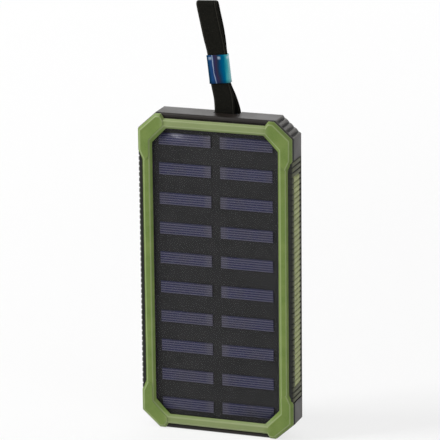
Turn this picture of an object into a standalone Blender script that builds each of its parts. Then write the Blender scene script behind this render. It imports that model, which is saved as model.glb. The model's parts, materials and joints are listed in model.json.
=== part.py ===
"""Solar phone charger: an octagonal power bank that stands upright, with a solar panel in its front.

Metres, +Z up. X is across the panel, the panel faces -Y, and the origin is under the middle of the
body, on the surface that it stands on. Depths are counted back from the front face of the corner pads.
"""

import math

import bmesh
import bpy
from mathutils import Matrix, Vector

# Housing
BODY_WIDTH = 0.0761
BODY_HEIGHT = 0.1546
BODY_DEPTH = 0.0170
CORNER_RUN = 0.0089
CORNER_RISE = 0.0080
SIDE_DEPTH = 0.0140
BACK_EDGE_INSET = 0.0026
FRONT_EDGE_CHAMFER = 0.0007
WALL = 0.0018
SEAT_GAP = 0.0003
CLOSE_GAP = 0.00015

# Ribs moulded across the four cut corners
CORNER_GROOVES = 4
CORNER_GROOVE_DEPTH = 0.0010
CORNER_GROOVE_HALF_WIDTH = 0.0010
CORNER_LIP = 0.0013

# Green bezel: straight rails, and pads that stand proud at the corners
PAD_MARGIN = 0.0003
RAIL_STEP = 0.0021
RAIL_STEP_END = 0.0022
RAIL_WIDTH = 0.0048
RAIL_WIDTH_END = 0.0047
PAD_RAISE = 0.0003
PAD_BEVEL = 0.0013
PAD_RUN_END = 0.0043
PAD_RUN_SIDE = 0.0103
PAD_TAPER_END = 0.0015
PAD_TAPER_SIDE = 0.0046
RAIL_BEVEL = 0.0009
RAIL_FLAT = 0.0027
RIM_THICKNESS = 0.0013
LIP_THICKNESS = 0.0003
WINDOW_RUN = 0.0070
WINDOW_RISE = 0.0072

# Solar panel
PANEL_RECESS = 0.0013
PANEL_OVERLAP = 0.0011
COVER_THICKNESS = 0.0005
CELL_THICKNESS = 0.0003
BOARD_THICKNESS = 0.0010
CELL_ROWS = 10
CELL_HEIGHT = 0.0057
CELL_SIDE_GAP = 0.0030
CELL_END_GAP = 0.0024
COLUMN_GAP = 0.0045
TAB_WIDTH = 0.0012

# Inner tray and its seal
TRAY_FLOOR = 0.0012
SEAL_WIDTH = 0.0010
SEAL_DEPTH = 0.0010

# Ribbed grips on both sides
GRIP_SET_BACK = 0.00015
GRIP_POCKET = 0.0012
GRIP_RIB_HEIGHT = 0.0005
GRIP_RIB_PITCH = 0.0026
GRIP_RIB_CREST = 0.0015
GRIP_RIB_ROOT = 0.0020
GRIP_FRONT_BAND = 0.0024
GRIP_BACK_BAND = 0.0018
GRIP_END_BAND = 0.0072
GRIP_BACK = 0.0134
GRIP_EDGE_CHAMFER = 0.0010

# Lanyard bar, strap and crimped ferrule
BAR_RADIUS = 0.00125
BAR_DROP = 0.0017
BAR_DEPTH = 0.0120
BAR_SEAT = 0.0015
NOTCH_SIDE_ROOM = 0.00035
NOTCH_FRONT_ROOM = 0.0033
NOTCH_FLOOR_ROOM = 0.0029
STRAP_WIDTH = 0.0098
STRAP_GATHERED = 0.0093
STRAP_THICKNESS = 0.0010
STRAP_RISE = 0.0540
STRAP_FOLD_LEVEL = 0.75
STRAND_SPREAD = 0.0017
FERRULE_LOW = 0.0153
FERRULE_HEIGHT = 0.0135
FERRULE_WALL = 0.00035
LOOP_HALF_GAP = 0.0016
STRAP_LEAN = ((-0.0020, 0.0031), (0.0015, 0.0030), (0.0080, 0.0018), (0.0153, -0.0003))
STRAP_LEAN_TOP = ((0.0288, -0.0018), (0.0400, -0.0038), (0.0490, -0.0057), (0.0540, -0.0067))

# Ports at the bottom, and the flap over them
USB_WIDTH = 0.0132
USB_HEIGHT = 0.0057
USB_LENGTH = 0.0140
USB_SHEET = 0.0003
PORT_START = 0.01245
USB_PITCH = 0.0154
TONGUE_WIDTH = 0.0111
TONGUE_THICKNESS = 0.0018
TONGUE_SETBACK = 0.0012
MICRO_WIDTH = 0.0075
MICRO_HEIGHT = 0.0026
MICRO_LENGTH = 0.0056
MICRO_PITCH = 0.0132
FLAP_MARGIN = 0.0015
FLAP_END_MARGIN = 0.0024
FLAP_FRONT = 0.0052
FLAP_THICKNESS = 0.0013
FLAP_RECESS = 0.0002
FLAP_HINGE_DEPTH = 0.0118
FLAP_PIN_RADIUS = 0.00035
FLAP_PIN_LENGTH = 0.0009
FLAP_LUG = 0.0012
FLAP_SCOOP = 0.0020
PORT_WALL = 0.0019
PORT_FRONT_WALL = 0.0006
PORT_FRONT_GAP = 0.0007

# Circuit board and what it carries
PCB_BOSS_ROOM = 0.0006
PCB_TAB_ROOM = 0.0067
PCB_LOW = 0.0042
PCB_HIGH = 0.0330
PCB_THICKNESS = 0.0012
CHIP_SIZE = 0.0048
CHIP_HEIGHT = 0.0012
CHIP_ROW_DROP = 0.0105
INDUCTOR_SIZE = 0.0068
INDUCTOR_HEIGHT = 0.0045
CAPACITOR_RADIUS = 0.0026
CAPACITOR_HEIGHT = 0.0050
LED_COUNT = 5
LED_START = 0.0090
LED_PITCH = 0.0021
LED_PIPE_RADIUS = 0.0006

# Power button on the left side
BUTTON_LENGTH = 0.0080
BUTTON_HEIGHT = 0.0036
BUTTON_Z = 0.0139
BUTTON_DEPTH = 0.0090
BUTTON_RECESS = 0.0001
BUTTON_FLANGE = 0.0007
BUTTON_TRAVEL = 0.00035
STEM_RADIUS = 0.0009
SWITCH_DEPTH = 0.0034
SWITCH_WIDTH = 0.0046

# Battery
CELL_PACK_SIDE_ROOM = 0.0029
CELL_PACK_END_ROOM = 0.0035
CELL_PACK_HALF_GAP = 0.0010
FOAM_THICKNESS = 0.0007

# Lamp in the back
LAMP_WIDTH = 0.0300
LAMP_HEIGHT = 0.0080
LAMP_DROP = 0.0165
LAMP_LED_COUNT = 4
LAMP_LED_PITCH = 0.0072
LAMP_LED_SIZE = 0.0028

# Case screws
SCREW_SIDE_ROOM = 0.0066
SCREW_FOOT = 0.0248
SCREW_DROP = 0.0116
SCREW_BOSS_RADIUS = 0.0032
SCREW_HEAD_RADIUS = 0.0019
SCREW_SHANK_RADIUS = 0.0010
SCREW_LENGTH = 0.0090

# Leads
LEAD_RADIUS = 0.0006

# Places worked out from the sizes above
FRONT = -BODY_DEPTH / 2
BACK = FRONT + BODY_DEPTH
MIDDLE_Z = BODY_HEIGHT / 2
HALF_WIDTH = BODY_WIDTH / 2
RAIL_FRONT = FRONT + PAD_RAISE
BEZEL_BACK = RAIL_FRONT + RIM_THICKNESS
SHELL_FRONT = BEZEL_BACK + SEAT_GAP
RAIL_INSET = PAD_MARGIN + RAIL_STEP
RAIL_INSET_END = PAD_MARGIN + RAIL_STEP_END
WINDOW_WIDTH = BODY_WIDTH - (RAIL_INSET + RAIL_WIDTH) * 2
WINDOW_HEIGHT = BODY_HEIGHT - (RAIL_INSET_END + RAIL_WIDTH_END) * 2
CELL_WIDTH = (WINDOW_WIDTH - COLUMN_GAP) / 2 - CELL_SIDE_GAP
CELL_PITCH = (WINDOW_HEIGHT - CELL_END_GAP * 2 - CELL_HEIGHT) / (CELL_ROWS - 1)
COVER_FRONT = RAIL_FRONT + PANEL_RECESS
CELL_FRONT = COVER_FRONT + COVER_THICKNESS + CLOSE_GAP
BOARD_FRONT = CELL_FRONT + CELL_THICKNESS + CLOSE_GAP
BOARD_BACK = BOARD_FRONT + BOARD_THICKNESS
TRAY_POCKET = BOARD_BACK + CLOSE_GAP
TRAY_BACK = TRAY_POCKET + TRAY_FLOOR
CAVITY_BACK = BACK - WALL
BAR_Y = FRONT + BAR_DEPTH
BAR_Z = BODY_HEIGHT - BAR_DROP
STRAP_RADIUS = BAR_RADIUS + CLOSE_GAP + STRAP_THICKNESS / 2
NOTCH_WIDTH = STRAP_WIDTH + STRAND_SPREAD + NOTCH_SIDE_ROOM * 2
NOTCH_CENTRE = STRAP_LEAN[0][1]
GRIP_HALF = BODY_HEIGHT / 2 - PAD_MARGIN - CORNER_RISE - PAD_RUN_SIDE
PCB_TAB = HALF_WIDTH - PCB_TAB_ROOM
PCB_FRONT = FRONT + FLAP_FRONT + PORT_FRONT_GAP + USB_HEIGHT
PCB_BACK = PCB_FRONT + PCB_THICKNESS
USB_BACK = PCB_FRONT - CLOSE_GAP
USB_CENTRES = [PORT_START + USB_WIDTH / 2 + USB_PITCH * i - HALF_WIDTH for i in range(2)]
MICRO_CENTRE = USB_CENTRES[-1] + MICRO_PITCH
LED_FIRST = MICRO_CENTRE + LED_START
FLAP_LEFT = USB_CENTRES[0] - USB_WIDTH / 2 - FLAP_MARGIN
FLAP_RIGHT = MICRO_CENTRE + MICRO_WIDTH / 2 + FLAP_END_MARGIN
FLOOR_OF_PORTS = FLAP_RECESS + FLAP_THICKNESS + SEAT_GAP
USB_MOUTH = FLOOR_OF_PORTS + SEAT_GAP
FLAP_HINGE_Y = FRONT + FLAP_HINGE_DEPTH
FLAP_HINGE_Z = FLAP_RECESS + FLAP_THICKNESS / 2
BUTTON_Y = FRONT + BUTTON_DEPTH
SCREW_X = HALF_WIDTH - SCREW_SIDE_ROOM
PCB_HALF_WIDTH = SCREW_X - SCREW_BOSS_RADIUS - PCB_BOSS_ROOM
LAMP_Z = BODY_HEIGHT - LAMP_DROP
CELL_PACK_WIDTH = HALF_WIDTH - WALL - CELL_PACK_SIDE_ROOM - CELL_PACK_HALF_GAP
CELL_PACK_LOW = PCB_HIGH + CELL_PACK_END_ROOM
CELL_PACK_HEIGHT = LAMP_Z - (LAMP_HEIGHT + WALL) / 2 - CELL_PACK_END_ROOM - CELL_PACK_LOW
CELL_PACK_FRONT = TRAY_BACK + SEAT_GAP + FOAM_THICKNESS + SEAT_GAP
CELL_PACK_THICKNESS = CAVITY_BACK - SEAT_GAP * 2 - CELL_PACK_FRONT
SCREW_PLACES = [(side * SCREW_X, z) for z in (SCREW_FOOT, BODY_HEIGHT - SCREW_DROP) for side in (-1, 1)]


def clear_scene():
    for thing in list(bpy.data.objects):
        bpy.data.objects.remove(thing, do_unlink=True)


def new_collection(name):
    collection = bpy.data.collections.new(name)
    bpy.context.scene.collection.children.link(collection)
    return collection


def finish(name, colour, roughness, metallic=0.0, alpha=1.0):
    """A plain material in the part's own colour."""
    material = bpy.data.materials.new(name)
    material.use_nodes = True
    shader = material.node_tree.nodes["Principled BSDF"]
    shader.inputs["Base Color"].default_value = (*colour, 1.0)
    shader.inputs["Roughness"].default_value = roughness
    shader.inputs["Metallic"].default_value = metallic
    shader.inputs["Alpha"].default_value = alpha
    return material


def mesh_object(name, form, collection=None, material=None):
    """Turns a bmesh into an object in the parts, or in the cutters where it has no material."""
    bmesh.ops.recalc_face_normals(form, faces=form.faces)
    mesh = bpy.data.meshes.new(name)
    form.to_mesh(mesh)
    form.free()
    piece = bpy.data.objects.new(name, mesh)
    (collection or CUTTERS).objects.link(piece)
    if material:
        mesh.materials.append(material)
    else:
        piece.hide_render = True
        piece.display_type = "WIRE"
    return piece


def part(name, form, material):
    return mesh_object(name, form, PARTS, material)


def cutter(name, form):
    return mesh_object(name, form)


def boolean(piece, tool, operation="DIFFERENCE"):
    modifier = piece.modifiers.new(tool.name, "BOOLEAN")
    modifier.operation = operation
    modifier.object = tool
    return piece


def bevel(piece, width, segments=1, angle=0.6):
    modifier = piece.modifiers.new("edges", "BEVEL")
    modifier.width = width
    modifier.segments = segments
    modifier.limit_method = "ANGLE"
    modifier.angle_limit = angle
    return piece


def smooth(piece, angle=0.7):
    piece.data.shade_smooth()
    piece.data.set_sharp_from_angle(angle=angle)
    return piece


AXIS_PLACES = {
    "x": lambda u, v, along: (along, u, v),
    "y": lambda u, v, along: (u, along, v),
    "z": lambda u, v, along: (u, v, along),
}


def loft(stations, axis="y", closed=False):
    """Joins outlines of equal length, each at its own place along the axis, into one closed skin."""
    form = bmesh.new()
    place = AXIS_PLACES[axis]
    rings = [[form.verts.new(place(u, v, along)) for u, v in outline] for outline, along in stations]
    pairs = list(zip(rings, rings[1:]))
    if closed:
        pairs.append((rings[-1], rings[0]))
    for near, far in pairs:
        for i in range(len(near)):
            form.faces.new((near[i - 1], near[i], far[i], far[i - 1]))
    if not closed:
        form.faces.new(rings[0])
        form.faces.new(rings[-1])
    return form


def prism(outline, start, end, axis="y"):
    return loft([(outline, start), (outline, end)], axis)


def add_box(form, low, high):
    low, high = Vector(low), Vector(high)
    size = Matrix.Diagonal((*(high - low), 1.0))
    bmesh.ops.create_cube(form, size=1.0, matrix=Matrix.Translation((low + high) / 2) @ size)
    return form


def add_rod(form, start, end, radius, end_radius=None, sides=16):
    start, end = Vector(start), Vector(end)
    along = end - start
    turn = along.to_track_quat("Z", "Y").to_matrix().to_4x4()
    bmesh.ops.create_cone(
        form, cap_ends=True, segments=sides, radius1=radius, depth=along.length,
        radius2=radius if end_radius is None else end_radius,
        matrix=Matrix.Translation((start + end) / 2) @ turn,
    )
    return form


def box(low, high):
    return add_box(bmesh.new(), low, high)


def rod(start, end, radius, end_radius=None, sides=16):
    return add_rod(bmesh.new(), start, end, radius, end_radius, sides)


def octagon(half_width, half_height, run, rise):
    """Corners (x, z) of an octagon about the middle of the body, from the lower left corner round."""
    low, high = MIDDLE_Z - half_height, MIDDLE_Z + half_height
    return [
        (-half_width + run, low), (half_width - run, low), (half_width, low + rise), (half_width, high - rise),
        (half_width - run, high), (-half_width + run, high), (-half_width, high - rise), (-half_width, low + rise),
    ]


def cut_corner(inset):
    """Run and rise of the cut corner once the body's outline is drawn in evenly."""
    slant = math.hypot(CORNER_RUN, CORNER_RISE)
    run = CORNER_RUN - inset * (1 + (CORNER_RUN - slant) / CORNER_RISE)
    rise = CORNER_RISE - inset * (1 + (CORNER_RISE - slant) / CORNER_RUN)
    return run, rise


def body_outline(inset=0.0):
    return octagon(HALF_WIDTH - inset, BODY_HEIGHT / 2 - inset, *cut_corner(inset))


def rectangle(u, v, width, height):
    return [(u + a * width / 2, v + b * height / 2) for a, b in ((-1, -1), (1, -1), (1, 1), (-1, 1))]


def rounded(u, v, width, height, corner_steps=4, radius=None):
    """A rectangle with round corners. Without a radius its short sides are half circles."""
    radius = min(width, height) / 2 if radius is None else radius
    reach_u, reach_v = width / 2 - radius, height / 2 - radius
    points = []
    for quarter, (a, b) in enumerate(((1, 1), (-1, 1), (-1, -1), (1, -1))):
        for step in range(corner_steps + 1):
            turn = math.pi / 2 * (quarter + step / corner_steps)
            spot = (u + a * reach_u + radius * math.cos(turn), v + b * reach_v + radius * math.sin(turn))
            if not points or math.dist(points[-1], spot) > 1e-6:
                points.append(spot)
    if math.dist(points[0], points[-1]) < 1e-6:
        points.pop()
    return points


def window_mix(share):
    """An outline between the rails' outer edge (0) and the window (1)."""
    outer = (HALF_WIDTH - RAIL_INSET, BODY_HEIGHT / 2 - RAIL_INSET_END, *cut_corner(RAIL_INSET))
    inner = (WINDOW_WIDTH / 2, WINDOW_HEIGHT / 2, WINDOW_RUN, WINDOW_RISE)
    return octagon(*(a + (b - a) * share for a, b in zip(outer, inner)))


def rail_share(inset):
    return inset / RAIL_WIDTH


def pad_corner(outer_inset, inner_grow, end_trim):
    """One corner pad's outline in the upper right quarter, about the middle of the body."""
    half_width, half_height = HALF_WIDTH - PAD_MARGIN, BODY_HEIGHT / 2 - PAD_MARGIN
    run, rise = cut_corner(PAD_MARGIN + outer_inset)
    right, top = half_width - outer_inset, half_height - outer_inset
    full_run, full_rise = cut_corner(PAD_MARGIN)
    end_x = half_width - full_run - PAD_RUN_END + end_trim
    end_z = half_height - full_rise - PAD_RUN_SIDE + end_trim
    share = rail_share(RAIL_BEVEL + RAIL_FLAT)
    inner = window_mix(share)
    side_x, side_z = inner[3][0] + inner_grow, inner[3][1] - MIDDLE_Z
    top_x, top_z = inner[4][0], inner[4][1] - MIDDLE_Z + inner_grow
    rail_x = half_width - RAIL_STEP - outer_inset
    rail_z = half_height - RAIL_STEP_END - outer_inset
    return [
        (end_x, rail_z), (end_x + PAD_TAPER_END, top), (right - run, top), (right, top - rise), (right, end_z),
        (rail_x, end_z - PAD_TAPER_SIDE), (side_x, end_z - PAD_TAPER_SIDE + PAD_BEVEL), (side_x, side_z),
        (max(top_x, end_x), top_z), (end_x, top_z),
    ]


def make_bezel():
    flat = rail_share(RAIL_BEVEL + RAIL_FLAT)
    under = 1 - rail_share(PANEL_OVERLAP * 1.4)
    lip = COVER_FRONT - SEAT_GAP
    profile = [
        (0.0, BEZEL_BACK), (0.0, RAIL_FRONT + RAIL_BEVEL), (rail_share(RAIL_BEVEL), RAIL_FRONT),
        (flat, RAIL_FRONT), (1.0, lip - LIP_THICKNESS), (1.0, lip), (under, lip), (under - 0.02, BEZEL_BACK),
    ]
    ring = loft([(window_mix(share), y) for share, y in profile], closed=True)
    bezel = part("front_bezel", ring, GREEN)
    for right in (1, -1):
        for up in (1, -1):
            stations = [
                (pad_corner(0.0, 0.0, 0.0), BEZEL_BACK),
                (pad_corner(0.0, 0.0, 0.0), FRONT + PAD_BEVEL),
                (pad_corner(PAD_BEVEL, PAD_RAISE, PAD_RAISE), FRONT),
            ]
            turned = [([(right * x, MIDDLE_Z + up * z) for x, z in outline], y) for outline, y in stations]
            name = f"pad_{'right' if right > 0 else 'left'}_{'top' if up > 0 else 'bottom'}"
            boolean(bezel, cutter(name, loft(turned)), "UNION")
    return bezel


def corner_grooves():
    """V grooves across the four cut corners, running front to back."""
    start = SHELL_FRONT + CORNER_LIP
    form = bmesh.new()
    outline = body_outline()
    for first, second in ((1, 2), (3, 4), (5, 6), (7, 0)):
        a, b = Vector(outline[first]), Vector(outline[second])
        along = (b - a).normalized()
        inward = Vector((-along.y, along.x))
        spread = 1 + PAD_MARGIN / CORNER_GROOVE_DEPTH
        for groove in range(CORNER_GROOVES):
            spot = a.lerp(b, (groove + 0.5) / CORNER_GROOVES)
            outside = spot - inward * PAD_MARGIN
            shape = [
                outside - along * CORNER_GROOVE_HALF_WIDTH * spread,
                outside + along * CORNER_GROOVE_HALF_WIDTH * spread,
                spot + inward * CORNER_GROOVE_DEPTH,
            ]
            near = [form.verts.new((point.x, start, point.y)) for point in shape]
            far = [form.verts.new((point.x, BACK + WALL, point.y)) for point in shape]
            form.faces.new(near)
            form.faces.new(far)
            for i in range(3):
                form.faces.new((near[i - 1], near[i], far[i], far[i - 1]))
    return cutter("corner_grooves", form)


def shell_inner_form():
    """What stays standing inside the shell: lanyard block, port wall, screw bosses and board posts."""
    form = bmesh.new()
    block = NOTCH_WIDTH / 2 + BAR_SEAT + WALL / 2
    block_low = BAR_Z - NOTCH_FLOOR_ROOM - WALL
    left, right = NOTCH_CENTRE - block, NOTCH_CENTRE + block
    add_box(form, (left, BAR_Y - NOTCH_FRONT_ROOM - WALL, block_low), (right, BACK + WALL, BODY_HEIGHT + WALL))
    add_box(form, *port_wall_box(0.0))
    boss_front = TRAY_BACK + (CAVITY_BACK - TRAY_BACK) / 2 + SEAT_GAP
    for x, z in SCREW_PLACES:
        add_rod(form, (x, boss_front, z), (x, BACK + WALL, z), SCREW_BOSS_RADIUS)
    for x in (-PCB_HALF_WIDTH * 0.8, PCB_HALF_WIDTH * 0.8):
        for z in (PCB_LOW + WALL * 2, PCB_HIGH - WALL * 2):
            add_rod(form, (x, PCB_BACK + SEAT_GAP, z), (x, BACK + WALL, z), WALL, sides=10)
    return cutter("shell_inner_form", form)


def port_wall_box(grow):
    """Two corners of the thick wall that the flap's recess and the ports are cut in."""
    reach = SEAT_GAP + FLAP_PIN_LENGTH + WALL / 2
    front = FRONT + FLAP_FRONT - SEAT_GAP - PORT_FRONT_WALL
    low = (FLAP_LEFT - reach - grow, front - grow, -WALL)
    high = (FLAP_RIGHT + reach + grow, FLAP_HINGE_Y + FLAP_THICKNESS + WALL / 2, FLOOR_OF_PORTS + PORT_WALL + grow)
    return low, high


def make_shell():
    half_way = (SIDE_DEPTH + BODY_DEPTH) / 2
    shell = part(
        "back_shell",
        loft([
            (body_outline(FRONT_EDGE_CHAMFER), SHELL_FRONT),
            (body_outline(), SHELL_FRONT + FRONT_EDGE_CHAMFER),
            (body_outline(), FRONT + SIDE_DEPTH),
            (body_outline(BACK_EDGE_INSET * 0.3), FRONT + half_way),
            (body_outline(BACK_EDGE_INSET), BACK),
        ]),
        BLACK,
    )
    cavity = cutter("shell_cavity", prism(body_outline(WALL), FRONT, CAVITY_BACK))
    boolean(shell, boolean(cavity, shell_inner_form()))
    boolean(shell, corner_grooves())
    for side, name in ((-1, "left"), (1, "right")):
        boolean(shell, grip_pocket(side, name))
    boolean(shell, lanyard_notch())
    boolean(shell, bar_holes())
    boolean(shell, port_pocket())
    boolean(shell, port_holes())
    boolean(shell, flap_pin_holes())
    boolean(shell, led_holes())
    boolean(shell, button_hole())
    boolean(shell, lamp_window())
    boolean(shell, screw_counterbores())
    boolean(shell, screw_holes())
    return shell


def grip_pocket(side, name):
    inner, outer = sorted((side * (HALF_WIDTH - GRIP_POCKET), side * (HALF_WIDTH + WALL)))
    low, high = MIDDLE_Z - GRIP_HALF, MIDDLE_Z + GRIP_HALF
    return cutter(f"grip_pocket_{name}", box((inner, FRONT, low), (outer, FRONT + GRIP_BACK, high)))


def lanyard_notch():
    half = NOTCH_WIDTH / 2
    low = (NOTCH_CENTRE - half, BAR_Y - NOTCH_FRONT_ROOM, BAR_Z - NOTCH_FLOOR_ROOM)
    return cutter("lanyard_notch", box(low, (NOTCH_CENTRE + half, BACK + WALL, BODY_HEIGHT + WALL)))


def bar_holes():
    reach = NOTCH_WIDTH / 2 + BAR_SEAT + CLOSE_GAP
    left, right = NOTCH_CENTRE - reach, NOTCH_CENTRE + reach
    form = rod((left, BAR_Y, BAR_Z), (right, BAR_Y, BAR_Z), BAR_RADIUS + CLOSE_GAP)
    return cutter("bar_holes", form)


def port_pocket():
    """The recess for the flap, with a scoop in its front wall for a fingernail."""
    low = (FLAP_LEFT - SEAT_GAP, FRONT + FLAP_FRONT - SEAT_GAP, -WALL)
    high = (FLAP_RIGHT + SEAT_GAP, FLAP_HINGE_Y + FLAP_THICKNESS / 2 + SEAT_GAP, FLOOR_OF_PORTS)
    pocket = cutter("port_pocket", box(low, high))
    middle = (FLAP_LEFT + FLAP_RIGHT) / 2
    scoop = rod(
        (middle, FRONT + FLAP_FRONT, -WALL), (middle, FRONT + FLAP_FRONT, FLAP_THICKNESS * 0.7),
        FLAP_SCOOP, sides=14,
    )
    return boolean(pocket, cutter("flap_scoop", scoop), "UNION")


def port_holes():
    form = bmesh.new()
    low, high = FLAP_RECESS + FLAP_THICKNESS, FLOOR_OF_PORTS + PORT_WALL + WALL
    for centre, width, height in port_sizes():
        half = width / 2 + SEAT_GAP
        front = USB_BACK - height - SEAT_GAP
        add_box(form, (centre - half, front, low), (centre + half, USB_BACK + SEAT_GAP, high))
    return cutter("port_holes", form)


def port_sizes():
    sizes = [(centre, USB_WIDTH, USB_HEIGHT) for centre in USB_CENTRES]
    return sizes + [(MICRO_CENTRE, MICRO_WIDTH, MICRO_HEIGHT)]


def flap_pin_holes():
    left = FLAP_LEFT - FLAP_PIN_LENGTH - SEAT_GAP
    right = FLAP_RIGHT + FLAP_PIN_LENGTH + SEAT_GAP
    start, end = (left, FLAP_HINGE_Y, FLAP_HINGE_Z), (right, FLAP_HINGE_Y, FLAP_HINGE_Z)
    return cutter("flap_pin_holes", rod(start, end, FLAP_PIN_RADIUS + CLOSE_GAP, sides=12))


def led_places():
    return [LED_FIRST + LED_PITCH * i for i in range(LED_COUNT)]


def led_holes():
    form = bmesh.new()
    y = BUTTON_Y - STEM_RADIUS
    for x in led_places():
        add_rod(form, (x, y, -WALL), (x, y, WALL * 1.5), LED_PIPE_RADIUS + CLOSE_GAP, sides=12)
    return cutter("led_holes", form)


def button_hole():
    gap = SEAT_GAP * 2
    outline = rounded(BUTTON_Y, BUTTON_Z, BUTTON_HEIGHT + gap, BUTTON_LENGTH + gap)
    form = prism(outline, -HALF_WIDTH - WALL, -HALF_WIDTH + WALL * 1.5, axis="x")
    return cutter("button_hole", form)


def lamp_window():
    gap = SEAT_GAP * 2
    outline = rounded(0.0, LAMP_Z, LAMP_WIDTH + gap, LAMP_HEIGHT + gap)
    return cutter("lamp_window", prism(outline, CAVITY_BACK - WALL, BACK + WALL))


def screw_counterbores():
    form = bmesh.new()
    for x, z in SCREW_PLACES:
        head = SCREW_HEAD_RADIUS + SEAT_GAP
        add_rod(form, (x, BACK - WALL, z), (x, BACK + WALL, z), head)
    return cutter("screw_counterbores", form)


def screw_holes():
    form = bmesh.new()
    for x, z in SCREW_PLACES:
        add_rod(form, (x, TRAY_BACK, z), (x, BACK, z), SCREW_SHANK_RADIUS + SEAT_GAP, sides=12)
    return cutter("screw_holes", form)


def make_tray():
    edge, groove = WALL + SEAT_GAP, WALL + SEAT_GAP + SEAL_WIDTH + CLOSE_GAP
    seal_low = seal_front() - SEAT_GAP
    seal_high = seal_front() + SEAL_DEPTH + SEAT_GAP
    tray = part(
        "front_tray",
        loft([
            (body_outline(edge), SHELL_FRONT), (body_outline(edge), seal_low), (body_outline(groove), seal_low),
            (body_outline(groove), seal_high), (body_outline(edge), seal_high), (body_outline(edge), TRAY_BACK),
        ]),
        BLACK,
    )
    pocket = cutter("panel_pocket", prism(panel_outline(PANEL_OVERLAP + SEAT_GAP), FRONT, TRAY_POCKET))
    boolean(tray, pocket)
    boolean(tray, cutter("tray_notch", box(*port_wall_box(SEAT_GAP))))
    posts = bmesh.new()
    post_back = TRAY_BACK + (CAVITY_BACK - TRAY_BACK) / 2
    for x, z in SCREW_PLACES:
        add_rod(posts, (x, TRAY_POCKET + TRAY_FLOOR / 2, z), (x, post_back, z), SCREW_BOSS_RADIUS)
    boolean(tray, cutter("tray_posts", posts), "UNION")
    holes = bmesh.new()
    for x, z in SCREW_PLACES:
        add_rod(holes, (x, TRAY_BACK, z), (x, BACK, z), SCREW_SHANK_RADIUS + SEAT_GAP, sides=12)
    boolean(tray, cutter("tray_screw_holes", holes))
    lead_hole = rod((0.0, FRONT, PCB_HIGH), (0.0, BACK, PCB_HIGH), LEAD_RADIUS * 5)
    boolean(tray, cutter("tray_lead_hole", lead_hole))
    return tray


def seal_front():
    return SHELL_FRONT + WALL / 3


def make_seal():
    inner, outer = WALL + SEAT_GAP + SEAL_WIDTH, WALL + SEAT_GAP
    near, far = seal_front(), seal_front() + SEAL_DEPTH
    stations = [
        (body_outline(inner), near), (body_outline(outer), near), (body_outline(outer), far), (body_outline(inner), far),
    ]
    return part("tray_seal", loft(stations, closed=True), RUBBER)


def panel_outline(grow=PANEL_OVERLAP):
    return octagon(WINDOW_WIDTH / 2 + grow, WINDOW_HEIGHT / 2 + grow, WINDOW_RUN, WINDOW_RISE)


def make_panel():
    cover = prism(panel_outline(), COVER_FRONT, COVER_FRONT + COVER_THICKNESS)
    part("panel_cover", cover, CLEAR)
    part("panel_board", prism(panel_outline(), BOARD_FRONT, BOARD_BACK), MATT_BLACK)
    for side, name in ((-1, "left"), (1, "right")):
        string = part(f"cell_string_{name}", cell_string(side), CELL)
        boolean(string, cutter(f"cell_tab_{name}", cell_tab(side)), "UNION")
        corners = prism(panel_outline(PANEL_OVERLAP / 2), FRONT, BOARD_FRONT)
        boolean(string, cutter(f"cell_corners_{name}", corners), "INTERSECT")


def cell_rows():
    top = MIDDLE_Z + CELL_PITCH * (CELL_ROWS - 1) / 2
    return [top - CELL_PITCH * row for row in range(CELL_ROWS)]


def cell_string(side):
    """Ten narrow cells of one column. The end cells are cut to the window's corners."""
    form = bmesh.new()
    for z in cell_rows():
        near, far = sorted((side * COLUMN_GAP / 2, side * (COLUMN_GAP / 2 + CELL_WIDTH)))
        add_box(
            form, (near, CELL_FRONT, z - CELL_HEIGHT / 2), (far, CELL_FRONT + CELL_THICKNESS, z + CELL_HEIGHT / 2),
        )
    return form


def cell_tab(side):
    """The ribbon that joins one column's cells, through their thickness."""
    x = side * (COLUMN_GAP + CELL_WIDTH) / 2
    rows = cell_rows()
    quarter = CELL_THICKNESS / 4
    low = (x - TAB_WIDTH / 2, CELL_FRONT + quarter, rows[-1] - CELL_HEIGHT / 3)
    high = (x + TAB_WIDTH / 2, CELL_FRONT + CELL_THICKNESS - quarter, rows[0] + CELL_HEIGHT / 3)
    return box(low, high)


def comb(side, inner, root, crest, half_length):
    """Side grip section (x, z): a flat back and a row of ribs along its outer face."""
    count = int(2 * half_length / GRIP_RIB_PITCH)
    start = MIDDLE_Z - count * GRIP_RIB_PITCH / 2
    points = [(side * inner, MIDDLE_Z - half_length), (side * root, MIDDLE_Z - half_length)]
    for rib in range(count):
        z = start + (rib + 0.5) * GRIP_RIB_PITCH
        for x, offset in (
            (root, -GRIP_RIB_ROOT / 2), (crest, -GRIP_RIB_CREST / 2), (crest, GRIP_RIB_CREST / 2), (root, GRIP_RIB_ROOT / 2),
        ):
            points.append((side * x, z + offset))
    points += [(side * root, MIDDLE_Z + half_length), (side * inner, MIDDLE_Z + half_length)]
    return points


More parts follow.
